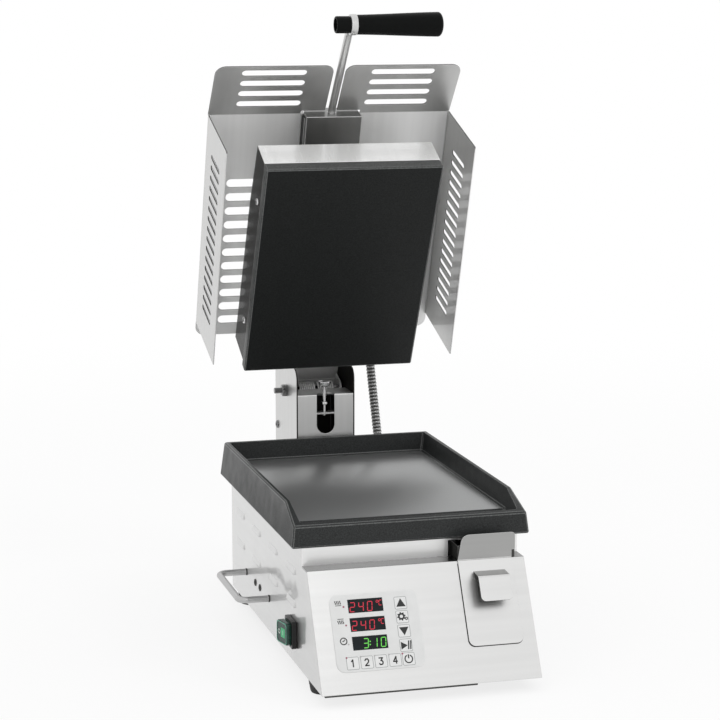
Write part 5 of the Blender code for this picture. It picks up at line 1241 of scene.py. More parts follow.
# Splash guards
def guard_back(sign, top, inner, outer):
    """The slotted back sheet with its tail."""
    across = sorted((sign * VENT_INNER, sign * VENT_OUTER))
    vents = slots(across, GUARD_TOP - VENT_FIRST, -VENT_PITCH, VENT_HEIGHT, VENT_COUNT)
    flange = sign * (ARM_HALF + GAP)
    edge = sign * (GUARD_HALF - GAP)
    outline = rounded([
        (inner, top, 0),
        (inner, GUARD_FLANGE_START, 0),
        (flange, GUARD_FLANGE_START, 0),
        (flange, GUARD_FOOT - GUARD_TAIL, 0),
        (edge, GUARD_FOOT - GUARD_TAIL, GUARD_TAIL_CORNER),
        (edge, GUARD_FOOT, 0),
        (outer, GUARD_FOOT, 0),
        (outer, top, 0),
    ])
    return [flat_panel(outline, vents, GUARD_PLANE - WALL, GUARD_PLANE, ARM_PLACE @ TO_BACK)]


def guard_side(sign, top):
    """The side sheet with its slits, the flange on the arm, and the bend of each."""
    place = ARM_PLACE @ Matrix.Diagonal((sign, 1, 1, 1)) @ TO_RIGHT
    across = (GUARD_PLANE - SLIT_FRONT, GUARD_PLANE - SLIT_BACK)
    slits = slots(across, GUARD_TOP - SLIT_FIRST, -SLIT_PITCH, SLIT_HEIGHT, SLIT_COUNT, 6)
    outline = rounded([
        (GUARD_PLANE - GUARD_DEPTH, GUARD_FOOT, GUARD_CORNER),
        (GUARD_PLANE - BEND, GUARD_FOOT, 0),
        (GUARD_PLANE - BEND, GUARD_TOP, 0),
        (GUARD_PLANE - GUARD_DEPTH, GUARD_TOP, GUARD_CORNER),
    ], 5)
    flange = ARM_HALF + GAP
    ends = (GUARD_FLANGE_START, top)
    strip = rectangle((GUARD_PLANE - GUARD_FLANGE, GUARD_PLANE - BEND), ends)
    outer_corner = (sign * GUARD_HALF, GUARD_PLANE, 0)
    inner_corner = (sign * flange, GUARD_PLANE, 0)
    return [
        flat_panel(outline, slits, GUARD_HALF - WALL, GUARD_HALF, place),
        fold(outer_corner, RIGHT * sign, BACK, UP, (GUARD_FOOT, top), place=ARM_PLACE),
        flat_panel(strip, [], flange, flange + WALL, place),
        fold(inner_corner, RIGHT * -sign, BACK, UP, ends, place=ARM_PLACE),
    ]


def guard_flap(sign, tilt, inner, outer):
    """The slotted flap that leans forward over the plate, with its bend."""
    rise = setback(BACK, tilt)
    clear = WALL + GAP + (ARM_END - GUARD_TOP) / math.cos(FLAP_TURN)
    across = sorted((sign * FLAP_VENT_INNER, sign * FLAP_VENT_OUTER))
    vents = slots(across, FLAP_VENT_FIRST, FLAP_VENT_PITCH, FLAP_VENT_HEIGHT, FLAP_VENT_COUNT)
    outline = rounded([
        (inner, rise, 0),
        (sign * GUARD_HALF, rise, 0),
        (sign * GUARD_HALF, FLAP_LENGTH, FLAP_OUTER_CORNER),
        (sign * FLAP_INNER, FLAP_LENGTH, FLAP_INNER_CORNER),
        (sign * FLAP_INNER, clear, FLAP_CLEAR_CORNER),
        (inner, clear, 0),
    ])
    corner = (0, GUARD_PLANE, GUARD_TOP)
    place = ARM_PLACE @ Matrix.Translation(corner) @ Matrix.Rotation(FLAP_TURN, 4, "X") @ TO_BACK
    return [
        flat_panel(outline, vents, -WALL, 0, place),
        fold(corner, BACK, tilt, RIGHT, sorted((inner, outer)), place=ARM_PLACE),
    ]


def make_guard(sign, node):
    tilt = Vector((0, math.cos(FLAP_TURN), math.sin(FLAP_TURN)))
    top = GUARD_TOP - setback(BACK, tilt)
    inner = sign * (ARM_HALF + GAP + BEND)
    outer = sign * (GUARD_HALF - BEND)
    meshes = guard_back(sign, top, inner, outer) + guard_side(sign, top)
    meshes += guard_flap(sign, tilt, inner, outer)
    name = node + "_sheet"
    piece = add_object(name, joined(meshes, name), "steel_guard", "lid", node, sheared=True)
    front = outward_of(ARM_PLACE)
    reach = ARM_HALF + 2 * BEND

    def on_arm(face):
        return abs(face.center.x) < reach and abs(face.normal.x) > FLAT_SHARE

    # The back sheets' front faces take painted light.
    second_finish(piece, "steel_guard_back_painted_light", lambda face: face.normal.dot(front) > FLAT_SHARE)
    # The flanges beside the arm take painted shade.
    second_finish(piece, "steel_side_painted_shade", on_arm)


# Hinge post
def make_post_plates():
    top = AXLE_Z + POST_HEAD
    outline = rounded([
        (POST_FRONT_Y, POST_FOOT_Z, POST_FOOT_CORNER),
        (BACK_Y, POST_FOOT_Z, POST_FOOT_CORNER),
        (BACK_Y, top, POST_BACK_CORNER),
        (POST_FRONT_Y, top, POST_FRONT_CORNER),
    ], 12)
    hole = circle(AXLE_Y, AXLE_Z, AXLE_RADIUS + GAP)
    for side, inward, low in (("left", 1, -POST_OUTER_HALF), ("right", -1, POST_INNER_HALF)):
        mesh = flat_panel(outline, [hole], low, low + POST_PLATE, TO_RIGHT)
        node = "post_plate_" + side
        piece = add_object(node + "_sheet", mesh, "steel_post", "root", node, sheared=True)
        # Faces towards the inside of the post take painted shade.
        second_finish(piece, "steel_inside_painted_shade", lambda face: face.normal.x * inward > SHEARED_SHARE)


def make_post_cover():
    """The front sheet with its slot, which runs on into the top that is bent back."""
    half = POST_INNER_HALF - GAP
    bend = COVER_THICKNESS + EDGE
    low = COVER_Z - COVER_DROP
    high = COVER_Z - bend
    slot_end = arc(0, AXLE_Z - SLOT_BOTTOM + SLOT_HALF, SLOT_HALF, 0, -math.pi, SLOT_STEPS)
    outline = [(-half, low), (half, low), (half, high), (SLOT_HALF, high)]
    outline += slot_end + [(-SLOT_HALF, high), (-half, high)]
    meshes = [flat_panel(outline, [], POST_FRONT_Y, POST_FRONT_Y + COVER_THICKNESS, TO_BACK)]
    front = POST_FRONT_Y + bend
    back = POST_FRONT_Y + COVER_DEPTH
    notch = [(u, v) for u, v in arc(0, POST_FRONT_Y, SLOT_HALF, math.pi, 0, NOTCH_STEPS) if v > front]
    outline = [(-half, back), (-half, front), (-SLOT_HALF, front)]
    outline += notch + [(SLOT_HALF, front), (half, front), (half, back)]
    meshes.append(flat_panel(outline, [], COVER_Z - COVER_THICKNESS, COVER_Z, LEVEL))
    for ends in ((-half, -SLOT_HALF), (SLOT_HALF, half)):
        meshes.append(fold((0, POST_FRONT_Y, COVER_Z), FRONT, UP, RIGHT, ends, bend, COVER_THICKNESS))
    mesh = joined(meshes, "post_cover_sheet")
    piece = add_object("post_cover_sheet", mesh, "steel_cover", "root", "post_cover")
    # Faces to the back and underneath take painted shade.
    second_finish(piece, "steel_inside_painted_shade", lambda face: max(face.normal.y, -face.normal.z) > SHEARED_SHARE)


def side_screws(places, x, radius, height, finish, body, base=LEVEL):
    """Domed screw heads with a socket, at the same places on both sides."""
    profile = profiled(SCREW_HEAD_SHARES, radius, height)
    for side, sign in SIDES:
        for name, y, z in places:
            place = base @ on_side(sign, x, y, z)
            add_turned(name.format(side), profile, "X", place, finish, body, steps=SMALL_ROUND)


def make_post_fixings():
    places = [
        ("post_screw_upper_{}", POST_SCREW_Y, POST_SCREW_Z),
        ("post_screw_lower_{}", POST_SCREW_Y, POST_SCREW_LOW_Z),
    ]
    side_screws(places, POST_OUTER_HALF, POST_SCREW_RADIUS, POST_SCREW_HEIGHT, "steel_nut", "root")


def thread(radius, start, end):
    """A ridged profile between two places along a screw."""
    sign = 1 if end > start else -1
    turns = int(abs(end - start) / THREAD_PITCH)
    profile = []
    for turn in range(turns):
        at = start + sign * THREAD_PITCH * turn
        profile += [(radius - THREAD_DEPTH, at), (radius, at + sign * THREAD_PITCH / 2)]
    return profile + [(radius - THREAD_DEPTH, start + sign * THREAD_PITCH * turns)]


def make_axle():
    outside = POST_OUTER_HALF + GAP
    tail = -outside - AXLE_TAIL
    place = Matrix.Translation((0, AXLE_Y, AXLE_Z))
    profile = [
        (0, tail),
        (AXLE_RADIUS - THREAD_DEPTH, tail),
        *thread(AXLE_RADIUS, tail + EDGE, EDGE - outside),
        (AXLE_RADIUS, 2 * THREAD_PITCH - outside),
        (AXLE_RADIUS, outside),
        *profiled(AXLE_HEAD_SHARES, AXLE_HEAD_RADIUS, AXLE_HEAD, outside),
    ]
    add_turned("lid_axle_turned", profile, "X", place, "steel_nut", "root", "lid_axle", steps=SMALL_ROUND)
    bore = AXLE_RADIUS + GAP
    profile = [
        (bore, -outside),
        *profiled(NUT_SHARES, NUT_RADIUS, -NUT_LENGTH, -outside),
        (bore, -outside - NUT_LENGTH),
    ]
    name = "axle_nut_hex"
    nut = add_turned(name, profile, "X", place, "steel_nut", "root", "axle_nut", steps=6, closed=True)
    bevelled(nut, EDGE, 2)


def make_springs():
    radius = SPRING_RADIUS - SPRING_WIRE
    count = SPRING_TURNS * COIL_STEPS
    coil = arc(AXLE_Y, AXLE_Z, radius, 0, 2 * math.pi * SPRING_TURNS, count)
    for side, start in (("left", -SPRING_LENGTH - GAP), ("right", GAP)):
        points = []
        for step, (y, z) in enumerate(coil):
            along = start + SPRING_WIRE + (SPRING_LENGTH - 2 * SPRING_WIRE) * step / count
            points.append(Vector((along, y, z)))
        mesh = swept(points, [SPRING_WIRE] * len(points), 10)
        node = "balance_spring_" + side
        add_object(node + "_coil", mesh, "steel_rod", "root", node)


def make_height_screw():
    top = AXLE_Z + SCREW_TOP
    lock = AXLE_Z - LOCK_NUT_DROP
    low = AXLE_Z - BRIDGE_DROP - BRIDGE_THICKNESS - SCREW_TAIL
    profile = [
        *profiled(BOWL_SHARES, DISH_RADIUS, -DISH_BOWL, top),
        *edged(RIM_SHARES, DISH_RADIUS, DISH_RIM, top),
        *profiled(DISH_STEM_SHARES, DISH_RADIUS, -DISH_HEIGHT, top),
        (SCREW_RADIUS, top - DISH_HEIGHT),
        *thread(SCREW_RADIUS, top - DISH_HEIGHT, lock + LOCK_NUT_LENGTH),
        *profiled(LOCK_NUT_SHARES, LOCK_NUT_RADIUS, LOCK_NUT_LENGTH, lock),
        *thread(SCREW_RADIUS, lock, low),
        (0, low),
    ]
    place = Matrix.Translation((0, POST_FRONT_Y + SCREW_SETBACK, 0))
    name = "height_screw_turned"
    add_turned(name, profile, "Z", place, "steel_bright", "thumbscrew", "height_screw", steps=SMALL_ROUND)


# Handle rod, grip and end cap
def corner_arc(before, corner, after, radius, steps=8):
    """Points of the arc that rounds off a corner of a bar."""
    first = (before - corner).normalized()
    second = (after - corner).normalized()
    half = first.angle(second) / 2
    centre = corner + (first + second).normalized() * radius / math.sin(half)
    start = corner + first * radius / math.tan(half) - centre
    end = corner + second * radius / math.tan(half) - centre
    turn = start.angle(end)
    return [centre + turned_between(start, end, turn, step / steps) for step in range(steps + 1)]


def grip_points():
    """The rod's start, its two bends and the middle of its eye, on the arm."""
    start = Vector((0, ARM_MIDDLE, ARM_END - ROD_STEM))
    bend = Vector((0, ARM_MIDDLE, ARM_END + ROD_BEND_RISE))
    neck = bend + Vector((0, -math.sin(ROD_TURN), math.cos(ROD_TURN))) * ROD_LENGTH
    eye = neck + Vector((0, -math.sin(EYE_TURN), math.cos(EYE_TURN))) * ROD_NECK
    return start, bend, neck, eye


def make_rod():
    start, bend, neck, eye = grip_points()
    away = (neck - eye).normalized() * EYE_RADIUS
    half = EYE_THICKNESS / 2
    points = [start]
    points += corner_arc(start, bend, neck, ROD_BEND_RADIUS)
    points += corner_arc(bend, neck, eye, ROD_BEND_RADIUS)
    radii = [ROD_RADIUS] * len(points)
    for share in EYE_REACH_SHARES:
        points.append(eye + away * share)
        radii.append(half - 2 * GAP)
    stem = swept([ARM_PLACE @ point for point in points], radii, BAR_SIDES)
    profile = [
        (SPINDLE_BORE, -half),
        *edged(EYE_EDGE_SHARES, EYE_RADIUS, EYE_EDGE, -half),
        *edged(EYE_EDGE_SHARES, EYE_RADIUS, EYE_EDGE, half, -1),
        (SPINDLE_BORE, half),
    ]
    loop = lathe(profile, "X", ARM_PLACE @ Matrix.Translation(eye), closed=True)
    mesh = joined([stem, loop], "handle_rod_bent", merged=False)
    add_object("handle_rod_bent", mesh, "steel_rod", "lid", "handle_rod")


def make_grip():
    root = EYE_THICKNESS / 2 + GAP
    dome = GRIP_TIP_RADIUS * GRIP_DOME_SHARE
    dome_start = root + GRIP_LENGTH - dome
    profile = [
        (0, root + GRIP_BORE_DEPTH),
        (SPINDLE_BORE, root + GRIP_BORE_DEPTH),
        (SPINDLE_BORE, root),
        *profiled(GRIP_ROOT_SHARES, GRIP_ROOT_RADIUS, dome, root),
    ]
    swell_start = profile[-1][1]
    for step in range(1, GRIP_STEPS):
        share = step / GRIP_STEPS
        swell = (share + share * share * (3 - 2 * share)) / 2
        radius = GRIP_ROOT_RADIUS + (GRIP_TIP_RADIUS - GRIP_ROOT_RADIUS) * swell
        profile.append((radius, swell_start + (dome_start - swell_start) * share))
    for step in range(GRIP_STEPS):
        angle = math.pi / 2 * step / GRIP_STEPS
        radius = GRIP_TIP_RADIUS * math.cos(angle) ** GRIP_DOME_POWER
        profile.append((radius, dome_start + dome * math.sin(angle)))
    profile.append((0, root + GRIP_LENGTH))
    place = ARM_PLACE @ Matrix.Translation(grip_points()[-1])
    add_turned("grip_moulded", profile, "X", place, "plastic_black", "lid", "grip", "black_plastic")

    profile = [
        (SPINDLE_BORE, -root),
        (SPINDLE_BORE, -root - STUB_FLOOR),
        (STUB_BORE, -root - STUB_FLOOR),
        *profiled(STUB_BORE_SHARES, STUB_BORE, -STUB_LENGTH, -root),
        *profiled(STUB_SHARES, STUB_RADIUS, -STUB_LENGTH, -root),
    ]
    add_turned(
        "grip_end_cap_moulded", profile, "X", place, "plastic_black", "lid", "grip_end_cap", "black_plastic",
        closed=True,
    )


# Bottom lip, carry handles, feet, side fixings and louvres
def make_bottom_lip():
    """The bottom sheet's folded front lip, in dark steel that paints the shadow line under the left of the
    panel.
    """
    top = BODY_BOTTOM - GAP
    place = Matrix.Translation((0, FRONT_Y + LIP_SETBACK + LIP_DEPTH, 0)) @ TO_FRONT
    outline = rectangle((-LIP_LEFT, LIP_RIGHT), (top - LIP_HEIGHT, top), LIP_HEIGHT / 4)
    mesh = flat_panel(outline, [], 0, LIP_DEPTH, place, edge=GAP / 2)
    add_object("bottom_lip_painted_shadow", mesh, "steel_dark", "root")


def make_carry_handles():
    front = BEND_Y + HANDLE_FRONT
    back = front + HANDLE_SPAN
    profile = [
        (HANDLE_RADIUS, 0),
        (COLLAR_RADIUS, 0),
        (COLLAR_RADIUS, COLLAR_HEIGHT),
        (HANDLE_RADIUS, COLLAR_HEIGHT),
    ]
    for side, sign in SIDES:
        node = "handle_" + side
        inner = sign * (BODY_HALF + GAP)
        outer = sign * (BODY_HALF + GAP + HANDLE_REACH)
        places = ((inner, front), (outer, front), (outer, back), (inner, back))
        corners = [Vector((x, y, HANDLE_Z)) for x, y in places]
        points = [corners[0]]
        points += corner_arc(*corners[:3], HANDLE_CORNER, 12)
        points += corner_arc(*corners[1:], HANDLE_CORNER, 12)
        points.append(corners[3])
        mesh = swept(points, [HANDLE_RADIUS] * len(points), BAR_SIDES)
        add_object(node + "_bar", mesh, "steel_bar", "root", node)
        rings = []
        for y in (front, back):
            place = on_side(sign, BODY_HALF, y, HANDLE_Z)
            rings.append(lathe(profile, "X", place, steps=SMALL_ROUND, closed=True))
        mesh = joined(rings, node + "_rings", merged=False)
        add_object(node + "_rings", mesh, "steel_cut_oxide_and_shade", "root")


def make_feet():
    profile = [
        (0, FOOT_RECESS),
        (FOOT_TIP_RADIUS * FOOT_DISH_SHARES[0], FOOT_RECESS),
        (FOOT_TIP_RADIUS * FOOT_DISH_SHARES[1], 0),
        *edged(FOOT_TIP_SHARES, FOOT_TIP_RADIUS, FOOT_EDGE, 0),
        *edged(FOOT_TOP_SHARES, FOOT_TOP_RADIUS, FOOT_EDGE, FOOT_HEIGHT),
        (0, FOOT_HEIGHT),
    ]
    for node in ("foot_front_left", "foot_front_right", "foot_back_left", "foot_back_right"):
        low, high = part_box(node)
        middle = (low + high) / 2
        place = Matrix.Translation((middle.x, middle.y, 0))
        add_turned(node + "_moulded", profile, "Z", place, "rubber_black", "root", node, "foot_rubber")


def make_side_fixings():
    places = [("side_screw_{}_" + str(index + 1), y, HANDLE_Z) for index, y in enumerate(SIDE_SCREW_Y)]
    # The screws take near black steel, painted shade for the shadow side of their domed heads.
    side_screws(places, BODY_HALF, SIDE_SCREW_RADIUS, SIDE_SCREW_HEIGHT, "steel_dark", "root")


def make_louvres():
    """A pressed hood over each slot in the body's sides, open at its lower edge."""
    for side, sign in SIDES:
        mesh_data = bmesh.new()
        for hood in range(2 * LOUVRE_COLUMNS):
            column, level = divmod(hood, 2)
            middle = BEND_Y + LOUVRE_FIRST + LOUVRE_PITCH * column
            low = BODY_BOTTOM + LOUVRE_LOW + LOUVRE_RISE * level - LOUVRE_HEIGHT / 2
            lines = []
            for row in range(HOOD_ROWS + 1):
                down = row / HOOD_ROWS
                line = []
                for step in range(HOOD_COLUMNS + 1):
                    across = 2 * step / HOOD_COLUMNS - 1
                    reach = HOOD_DEPTH * min(1.0, (1 - abs(across)) / HOOD_END_SHARE) * down
                    x = sign * (BODY_HALF + reach + EDGE / 4)
                    y = middle + across * (LOUVRE_LENGTH / 2 + HOOD_DEPTH)
                    line.append(mesh_data.verts.new((x, y, low + HOOD_HEIGHT * (1 - down))))
                lines.append(line)
            for first, second in zip(lines, lines[1:]):
                skin(mesh_data, first, second, loop=False)
        name = "louvres_" + side
        piece = add_object(name, finish_mesh(mesh_data, name), "steel_sheet", "root")
        thickened(piece, HOOD_THICKNESS)


def make_head_screws():
    depth = HEAD_SCREW_DEPTH - PLATE_REACH
    places = []
    for index, down in enumerate(HEAD_SCREWS_DOWN):
        places.append(("head_screw_{}_" + str(index + 1), depth, PLATE_LENGTH / 2 - down))
    side_screws(places, HEAD_HALF, HEAD_SCREW_RADIUS, HEAD_SCREW_HEIGHT, "steel_bright", "head", HEAD_PLACE)


# Drawer front and pull
def make_drawer_front():
    """The overlay on the panel, the flap that stands on it, and a thin black strip behind that paints the
    shadow in the gap along the overlay's left and lower edges.
    """
    lean_out = Vector((0, -math.cos(PANEL_LEAN), math.sin(PANEL_LEAN)))
    away = setback(lean_out, FRONT)
    lift = WALL * math.tan(PANEL_LEAN / 2)
    width = (DRAWER_LEFT, DRAWER_RIGHT)
    outline = rectangle(width, (-DRAWER_DROP, lift - away), DRAWER_CORNER, 10, 0)
    meshes = [flat_panel(outline, [], GAP, GAP + WALL, FACE_PLACE)]
    corner_z = LEDGE_Z + GAP / math.sin(PANEL_LEAN) + lift
    meshes.append(fold((0, BEND_Y - WALL, corner_z), lean_out, FRONT, RIGHT, width))
    outline = rounded([
        (DRAWER_LEFT, corner_z + away, 0),
        (DRAWER_RIGHT, corner_z + away, 0),
        (DRAWER_RIGHT, LEDGE_Z + FLAP_NOTCH, 0),
        (FLAP_RIGHT, LEDGE_Z + FLAP_NOTCH, FLAP_NOTCH_CORNER),
        (FLAP_RIGHT, LEDGE_Z + FLAP_RISE, FLAP_CORNER / 2),
        (DRAWER_LEFT + FLAP_SLANT, LEDGE_Z + FLAP_RISE, FLAP_CORNER),
    ])
    meshes.append(flat_panel(outline, [], 0, WALL, Matrix.Translation((0, BEND_Y, 0)) @ TO_FRONT))
    # A thin black strip in the gap, painted shadow along the overlay's left and lower edges.
    width = (DRAWER_LEFT - SHADOW_STRIP_LEFT, DRAWER_RIGHT)
    outline = rectangle(width, (-DRAWER_DROP - SHADOW_STRIP_BELOW, -SHADOW_STRIP_DOWN), DRAWER_CORNER, 10, 0)
    painted_gap = flat_panel(outline, [], GAP / 4, GAP * 3 / 4, FACE_PLACE, edge=GAP / 8)
    add_object("drawer_painted_shadow_strip", painted_gap, "rubber_black", "drawer")
    name = "drawer_front_sheet"
    piece = add_object(
        name, joined(meshes, name), "steel_panel", "drawer", "drawer_front", sheared=True
    )
    # The flap's front faces take the darker copy of the panel steel, painted shade.
    second_finish(piece, "steel_flap_painted_shade", lambda face: face.normal.y < -FLAT_SHARE)


def make_pull():
    """A strip bent out from the overlay and down again, with rounded lower corners."""
    width = (PULL_LEFT, PULL_RIGHT)
    root = 2 * GAP + 2 * WALL
    top = Vector((0, -root, -PULL_TOP))
    bend = Vector((0, WALL - PULL_REACH, -PULL_BEND))
    run = (bend - top).normalized()
    shelf = Vector((0, run.z, -run.y))
    top += (BACK + shelf) * WALL / (1 + BACK.dot(shelf))
    bend += (FRONT + shelf) * WALL / (1 + FRONT.dot(shelf))
    top_away = setback(BACK, shelf, PULL_FOLD)
    bend_away = setback(FRONT, shelf, PULL_FOLD)
    turn = Matrix(((1, 0, 0, 0), (0, run.y, shelf.y, 0), (0, run.z, shelf.z, 0), (0, 0, 0, 1)))
    leaf = rectangle(width, (-PULL_ROOT, top.z - top_away), PULL_CORNER / 2, 10, 0)
    strip = rectangle(width, (top_away, (bend - top).length - bend_away))
    tongue = rectangle(width, (-PULL_BOTTOM, bend.z - bend_away), PULL_CORNER, 10, 0)
    meshes = [
        flat_panel(leaf, [], root - WALL, root, FACE_PLACE),
        fold(top, BACK, shelf, RIGHT, width, PULL_FOLD, WALL, PANEL_PLACE, 10),
        fold(bend, shelf, FRONT, RIGHT, width, PULL_FOLD, WALL, PANEL_PLACE, 10),
        flat_panel(strip, [], -WALL, 0, PANEL_PLACE @ Matrix.Translation(top) @ turn),
        flat_panel(tongue, [], PULL_REACH - WALL, PULL_REACH, FACE_PLACE),
    ]
    name = "drawer_pull_bent"
    piece = add_object(
        name, joined(meshes, name), "steel_panel", "drawer", "drawer_pull", sheared=True
    )
    out = outward_of(PANEL_PLACE)
    over = PANEL_PLACE.to_3x3() @ shelf
    # Painted shade: the pull's faces towards the panel take near black steel, the top of its shelf the
    # darker panel steel.
    second_finish(piece, "steel_inside_painted_shade", lambda face: face.normal.dot(out) < -SHEARED_SHARE)
    second_finish(piece, "steel_flap_painted_shade", lambda face: face.normal.dot(over) > FLAT_SHARE)


# Control foil's print
def pointed_bar(start, end, stroke):
    """A bar between two points of a digit, with pointed ends."""
    run = (Vector(end) - Vector(start)).normalized() * stroke
    side = Vector((-run.y, run.x)) / 2
    tip = run * SEGMENT_END_SHARE / 2
    first = Vector(start) + run * SEGMENT_INSET_SHARE
    second = Vector(end) - run * SEGMENT_INSET_SHARE
    corners = (first - tip, first + side, second + side, second + tip, second - side, first - side)
    return [tuple(corner) for corner in corners]


def stroke_bar(start, end, stroke):
    """A bar that reaches a little past both of its ends."""
    run = (Vector(end) - Vector(start)).normalized() * stroke / 2
    side = Vector((-run.y, run.x))
    first = Vector(start) - run * STROKE_END_SHARE
    second = Vector(end) + run * STROKE_END_SHARE
    return [tuple(corner) for corner in (first + side, second + side, second - side, first - side)]


def digit_outlines(text, left, base):
    """Outlines of seven-segment figures, slanted a little, from a left edge and a base line."""
    outlines = []
    at = left
    for letter in text:
        if letter == ":":
            half = DIGIT_STROKE * COLON_SIZE_SHARE
            for share in COLON_SHARES:
                height = DIGIT_HEIGHT * share
                x = at - DIGIT_PITCH + DIGIT_WIDTH + COLON_GAP + DIGIT_SLANT_SHARE * height
                y = base + height
                outlines.append(rectangle((x - half, x + half), (y - half, y + half)))
            continue
        small = letter in SMALL_SHARES
        wide, high = SMALL_SHARES.get(letter, (1, 1))
        width = DIGIT_WIDTH * wide
        tall = DIGIT_HEIGHT * high
        low = DIGIT_HEIGHT + SMALL_RISE - tall if small else 0
        stroke = DIGIT_STROKE * SMALL_STROKE_SHARE if small else DIGIT_STROKE
        for part in SEGMENTS[letter]:
            ends = []
            for u, v in SEGMENT_PLACES[part]:
                height = low + v * tall
                ends.append((at + u * width + DIGIT_SLANT_SHARE * height, base + height))
            outlines.append(pointed_bar(*ends, stroke))
        at += width + SMALL_GAP if small else DIGIT_PITCH
    return outlines


def print_on(name, outlines, finish, low, high, place=FACE_PLACE):
    """Thin printed shapes at a level above the panel's face; an outline may come with its holes."""
    meshes = []
    for item in outlines:
        outer, holes = item if isinstance(item[0], list) else (item, [])
        meshes.append(flat_panel(outer, holes, low, high, place, PRINT_EDGE))
    add_object(name, joined(meshes, name, merged=False), finish, "root")


def make_keys():
    squares = [(KEY_COLUMN_X, -down - KEY_SIZE) for down in KEY_COLUMN_DOWN]
    squares += [(x, -KEY_ROW_DOWN - KEY_SIZE) for x in KEY_ROW_X]
    caps = []
    lines = []
    for x, low in squares:
        outer = rectangle((x, x + KEY_SIZE), (low, low + KEY_SIZE), KEY_CORNER)
        across = (x + KEY_LINE, x + KEY_SIZE - KEY_LINE)
        inner = rectangle(across, (low + KEY_LINE, low + KEY_SIZE - KEY_LINE), KEY_CORNER - KEY_LINE)
        lines.append([outer, [inner]])
        caps.append(inner)
    print_on("key_caps", caps, "foil_key", FOIL_FACE, FOIL_FACE + KEY_RISE)
    print_on("key_lines", lines, "foil_line", FOIL_FACE, FOIL_FACE + PRINT)


def gear(u, v, radius, teeth):
    outline = []
    steps = teeth * 4
    for step in range(steps):
        angle = 2 * math.pi * (step + 0.5) / steps
        reach = radius if step % 4 < 2 else radius * GEAR_ROOT_SHARE
        outline.append((u + reach * math.cos(angle), v + reach * math.sin(angle)))
    return [outline, [circle(u, v, radius * GEAR_BORE_SHARE, 20)]]


def bar(u, v, width, height, slant=0.0):
    across = width / 2
    up = height / 2
    over = slant * up
    return [
        (u - across - over, v - up),
        (u + across - over, v - up),
        (u + across + over, v + up),
        (u - across + over, v + up),
    ]


def wave(u, v, height, width, stroke):
    """A wavy upright line, as an outline."""
    line = []
    for step in range(WAVE_STEPS + 1):
        share = step / WAVE_STEPS
        line.append((u + width * math.sin(2 * math.pi * share), v - height / 2 + height * share))
    left = [(x - stroke / 2, y) for x, y in line]
    return left + [(x + stroke / 2, y) for x, y in reversed(line)]


def number_outlines(number, u, v):
    left = u - NUMBER_WIDTH / 2
    low = v - NUMBER_HEIGHT / 2
    corners = [(left + NUMBER_WIDTH * x, low + NUMBER_HEIGHT * y) for x, y in NUMBER_SHARES[number]]
    return [stroke_bar(start, end, NUMBER_STROKE) for start, end in zip(corners, corners[1:])]


def key_marks():
    """The marks on the keys: arrows, gears, start and pause, numbers, power."""
    half = KEY_SIZE / 2
    column = KEY_COLUMN_X + half
    levels = [-down - half for down in KEY_COLUMN_DOWN]
    marks = []
    for key, right, up, size, turn in ARROWS:
        marks.append(arc(column + right, levels[key] + up, size, turn, turn + 2 * math.pi, 3)[:-1])
    for key, right, up, size, teeth in GEARS:
        marks.append(gear(column + right, levels[key] + up, size, teeth))
    for right in PAUSE_SHIFTS:
        marks.append(bar(column + right, levels[-1], PAUSE_WIDTH, PAUSE_HEIGHT, PAUSE_SLANT_SHARE))
    level = -KEY_ROW_DOWN - half
    for number, x in zip("1234", KEY_ROW_X):
        marks += number_outlines(number, x + half, level)
    middle = KEY_ROW_X[-1] + half
    inner = arc(middle, level, POWER_RADIUS - POWER_STROKE, *POWER_ARC, 24)
    marks.append(arc(middle, level, POWER_RADIUS, *POWER_ARC, 24) + inner[::-1])
    rise, width, height = POWER_BAR
    marks.append(bar(middle, level + rise, width, height))
    return marks


def icon_marks():
    """Heat from above, heat from below and a clock, left of the three windows."""
    marks = []
    for line, (u, v) in HEAT_SIGNS:
        marks.append(bar(*line, *HEAT_BAR))
        for step in range(HEAT_WAVES):
            marks.append(wave(u + (step - (HEAT_WAVES - 1) / 2) * HEAT_PITCH, v, *HEAT_WAVE))
    outer, inner = [circle(*CLOCK, radius) for radius in CLOCK_RADII]
    marks.append([outer, [inner]])
    for end in CLOCK_HANDS:
        marks.append(stroke_bar(CLOCK, end, CLOCK_STROKE))
    return marks


def make_print():
    low = FOIL_FACE + KEY_RISE
    print_on("key_marks", key_marks(), "foil_ink", low - PRINT / 2, low + PRINT)
    print_on("foil_icons", icon_marks(), "foil_ink", FOIL_FACE, FOIL_FACE + PRINT)
    for name, places, finish, share in LAMP_DOTS:
        dots = [circle(x, -down, LAMP_RADIUS * share, 20) for x, down in places]
        print_on(name, dots, finish, FOIL_FACE, low + 2 * PRINT)
    for index, (name, text, finish, right, up) in enumerate(READINGS):
        base = -DISPLAY_TOP - DISPLAY_PITCH * index - DISPLAY_HEIGHT + up
        outlines = digit_outlines(text, DISPLAY_LEFT + right, base)
        print_on(name, outlines, finish, FOIL_FACE, FOIL_FACE + PRINT)


# Power switch
def cap_face(y):
    """How far the cap's face stands out of the bezel, pressed in towards the front."""
    return (CAP_HIGH + CAP_LOW) / 2 + CAP_SLOPE * y


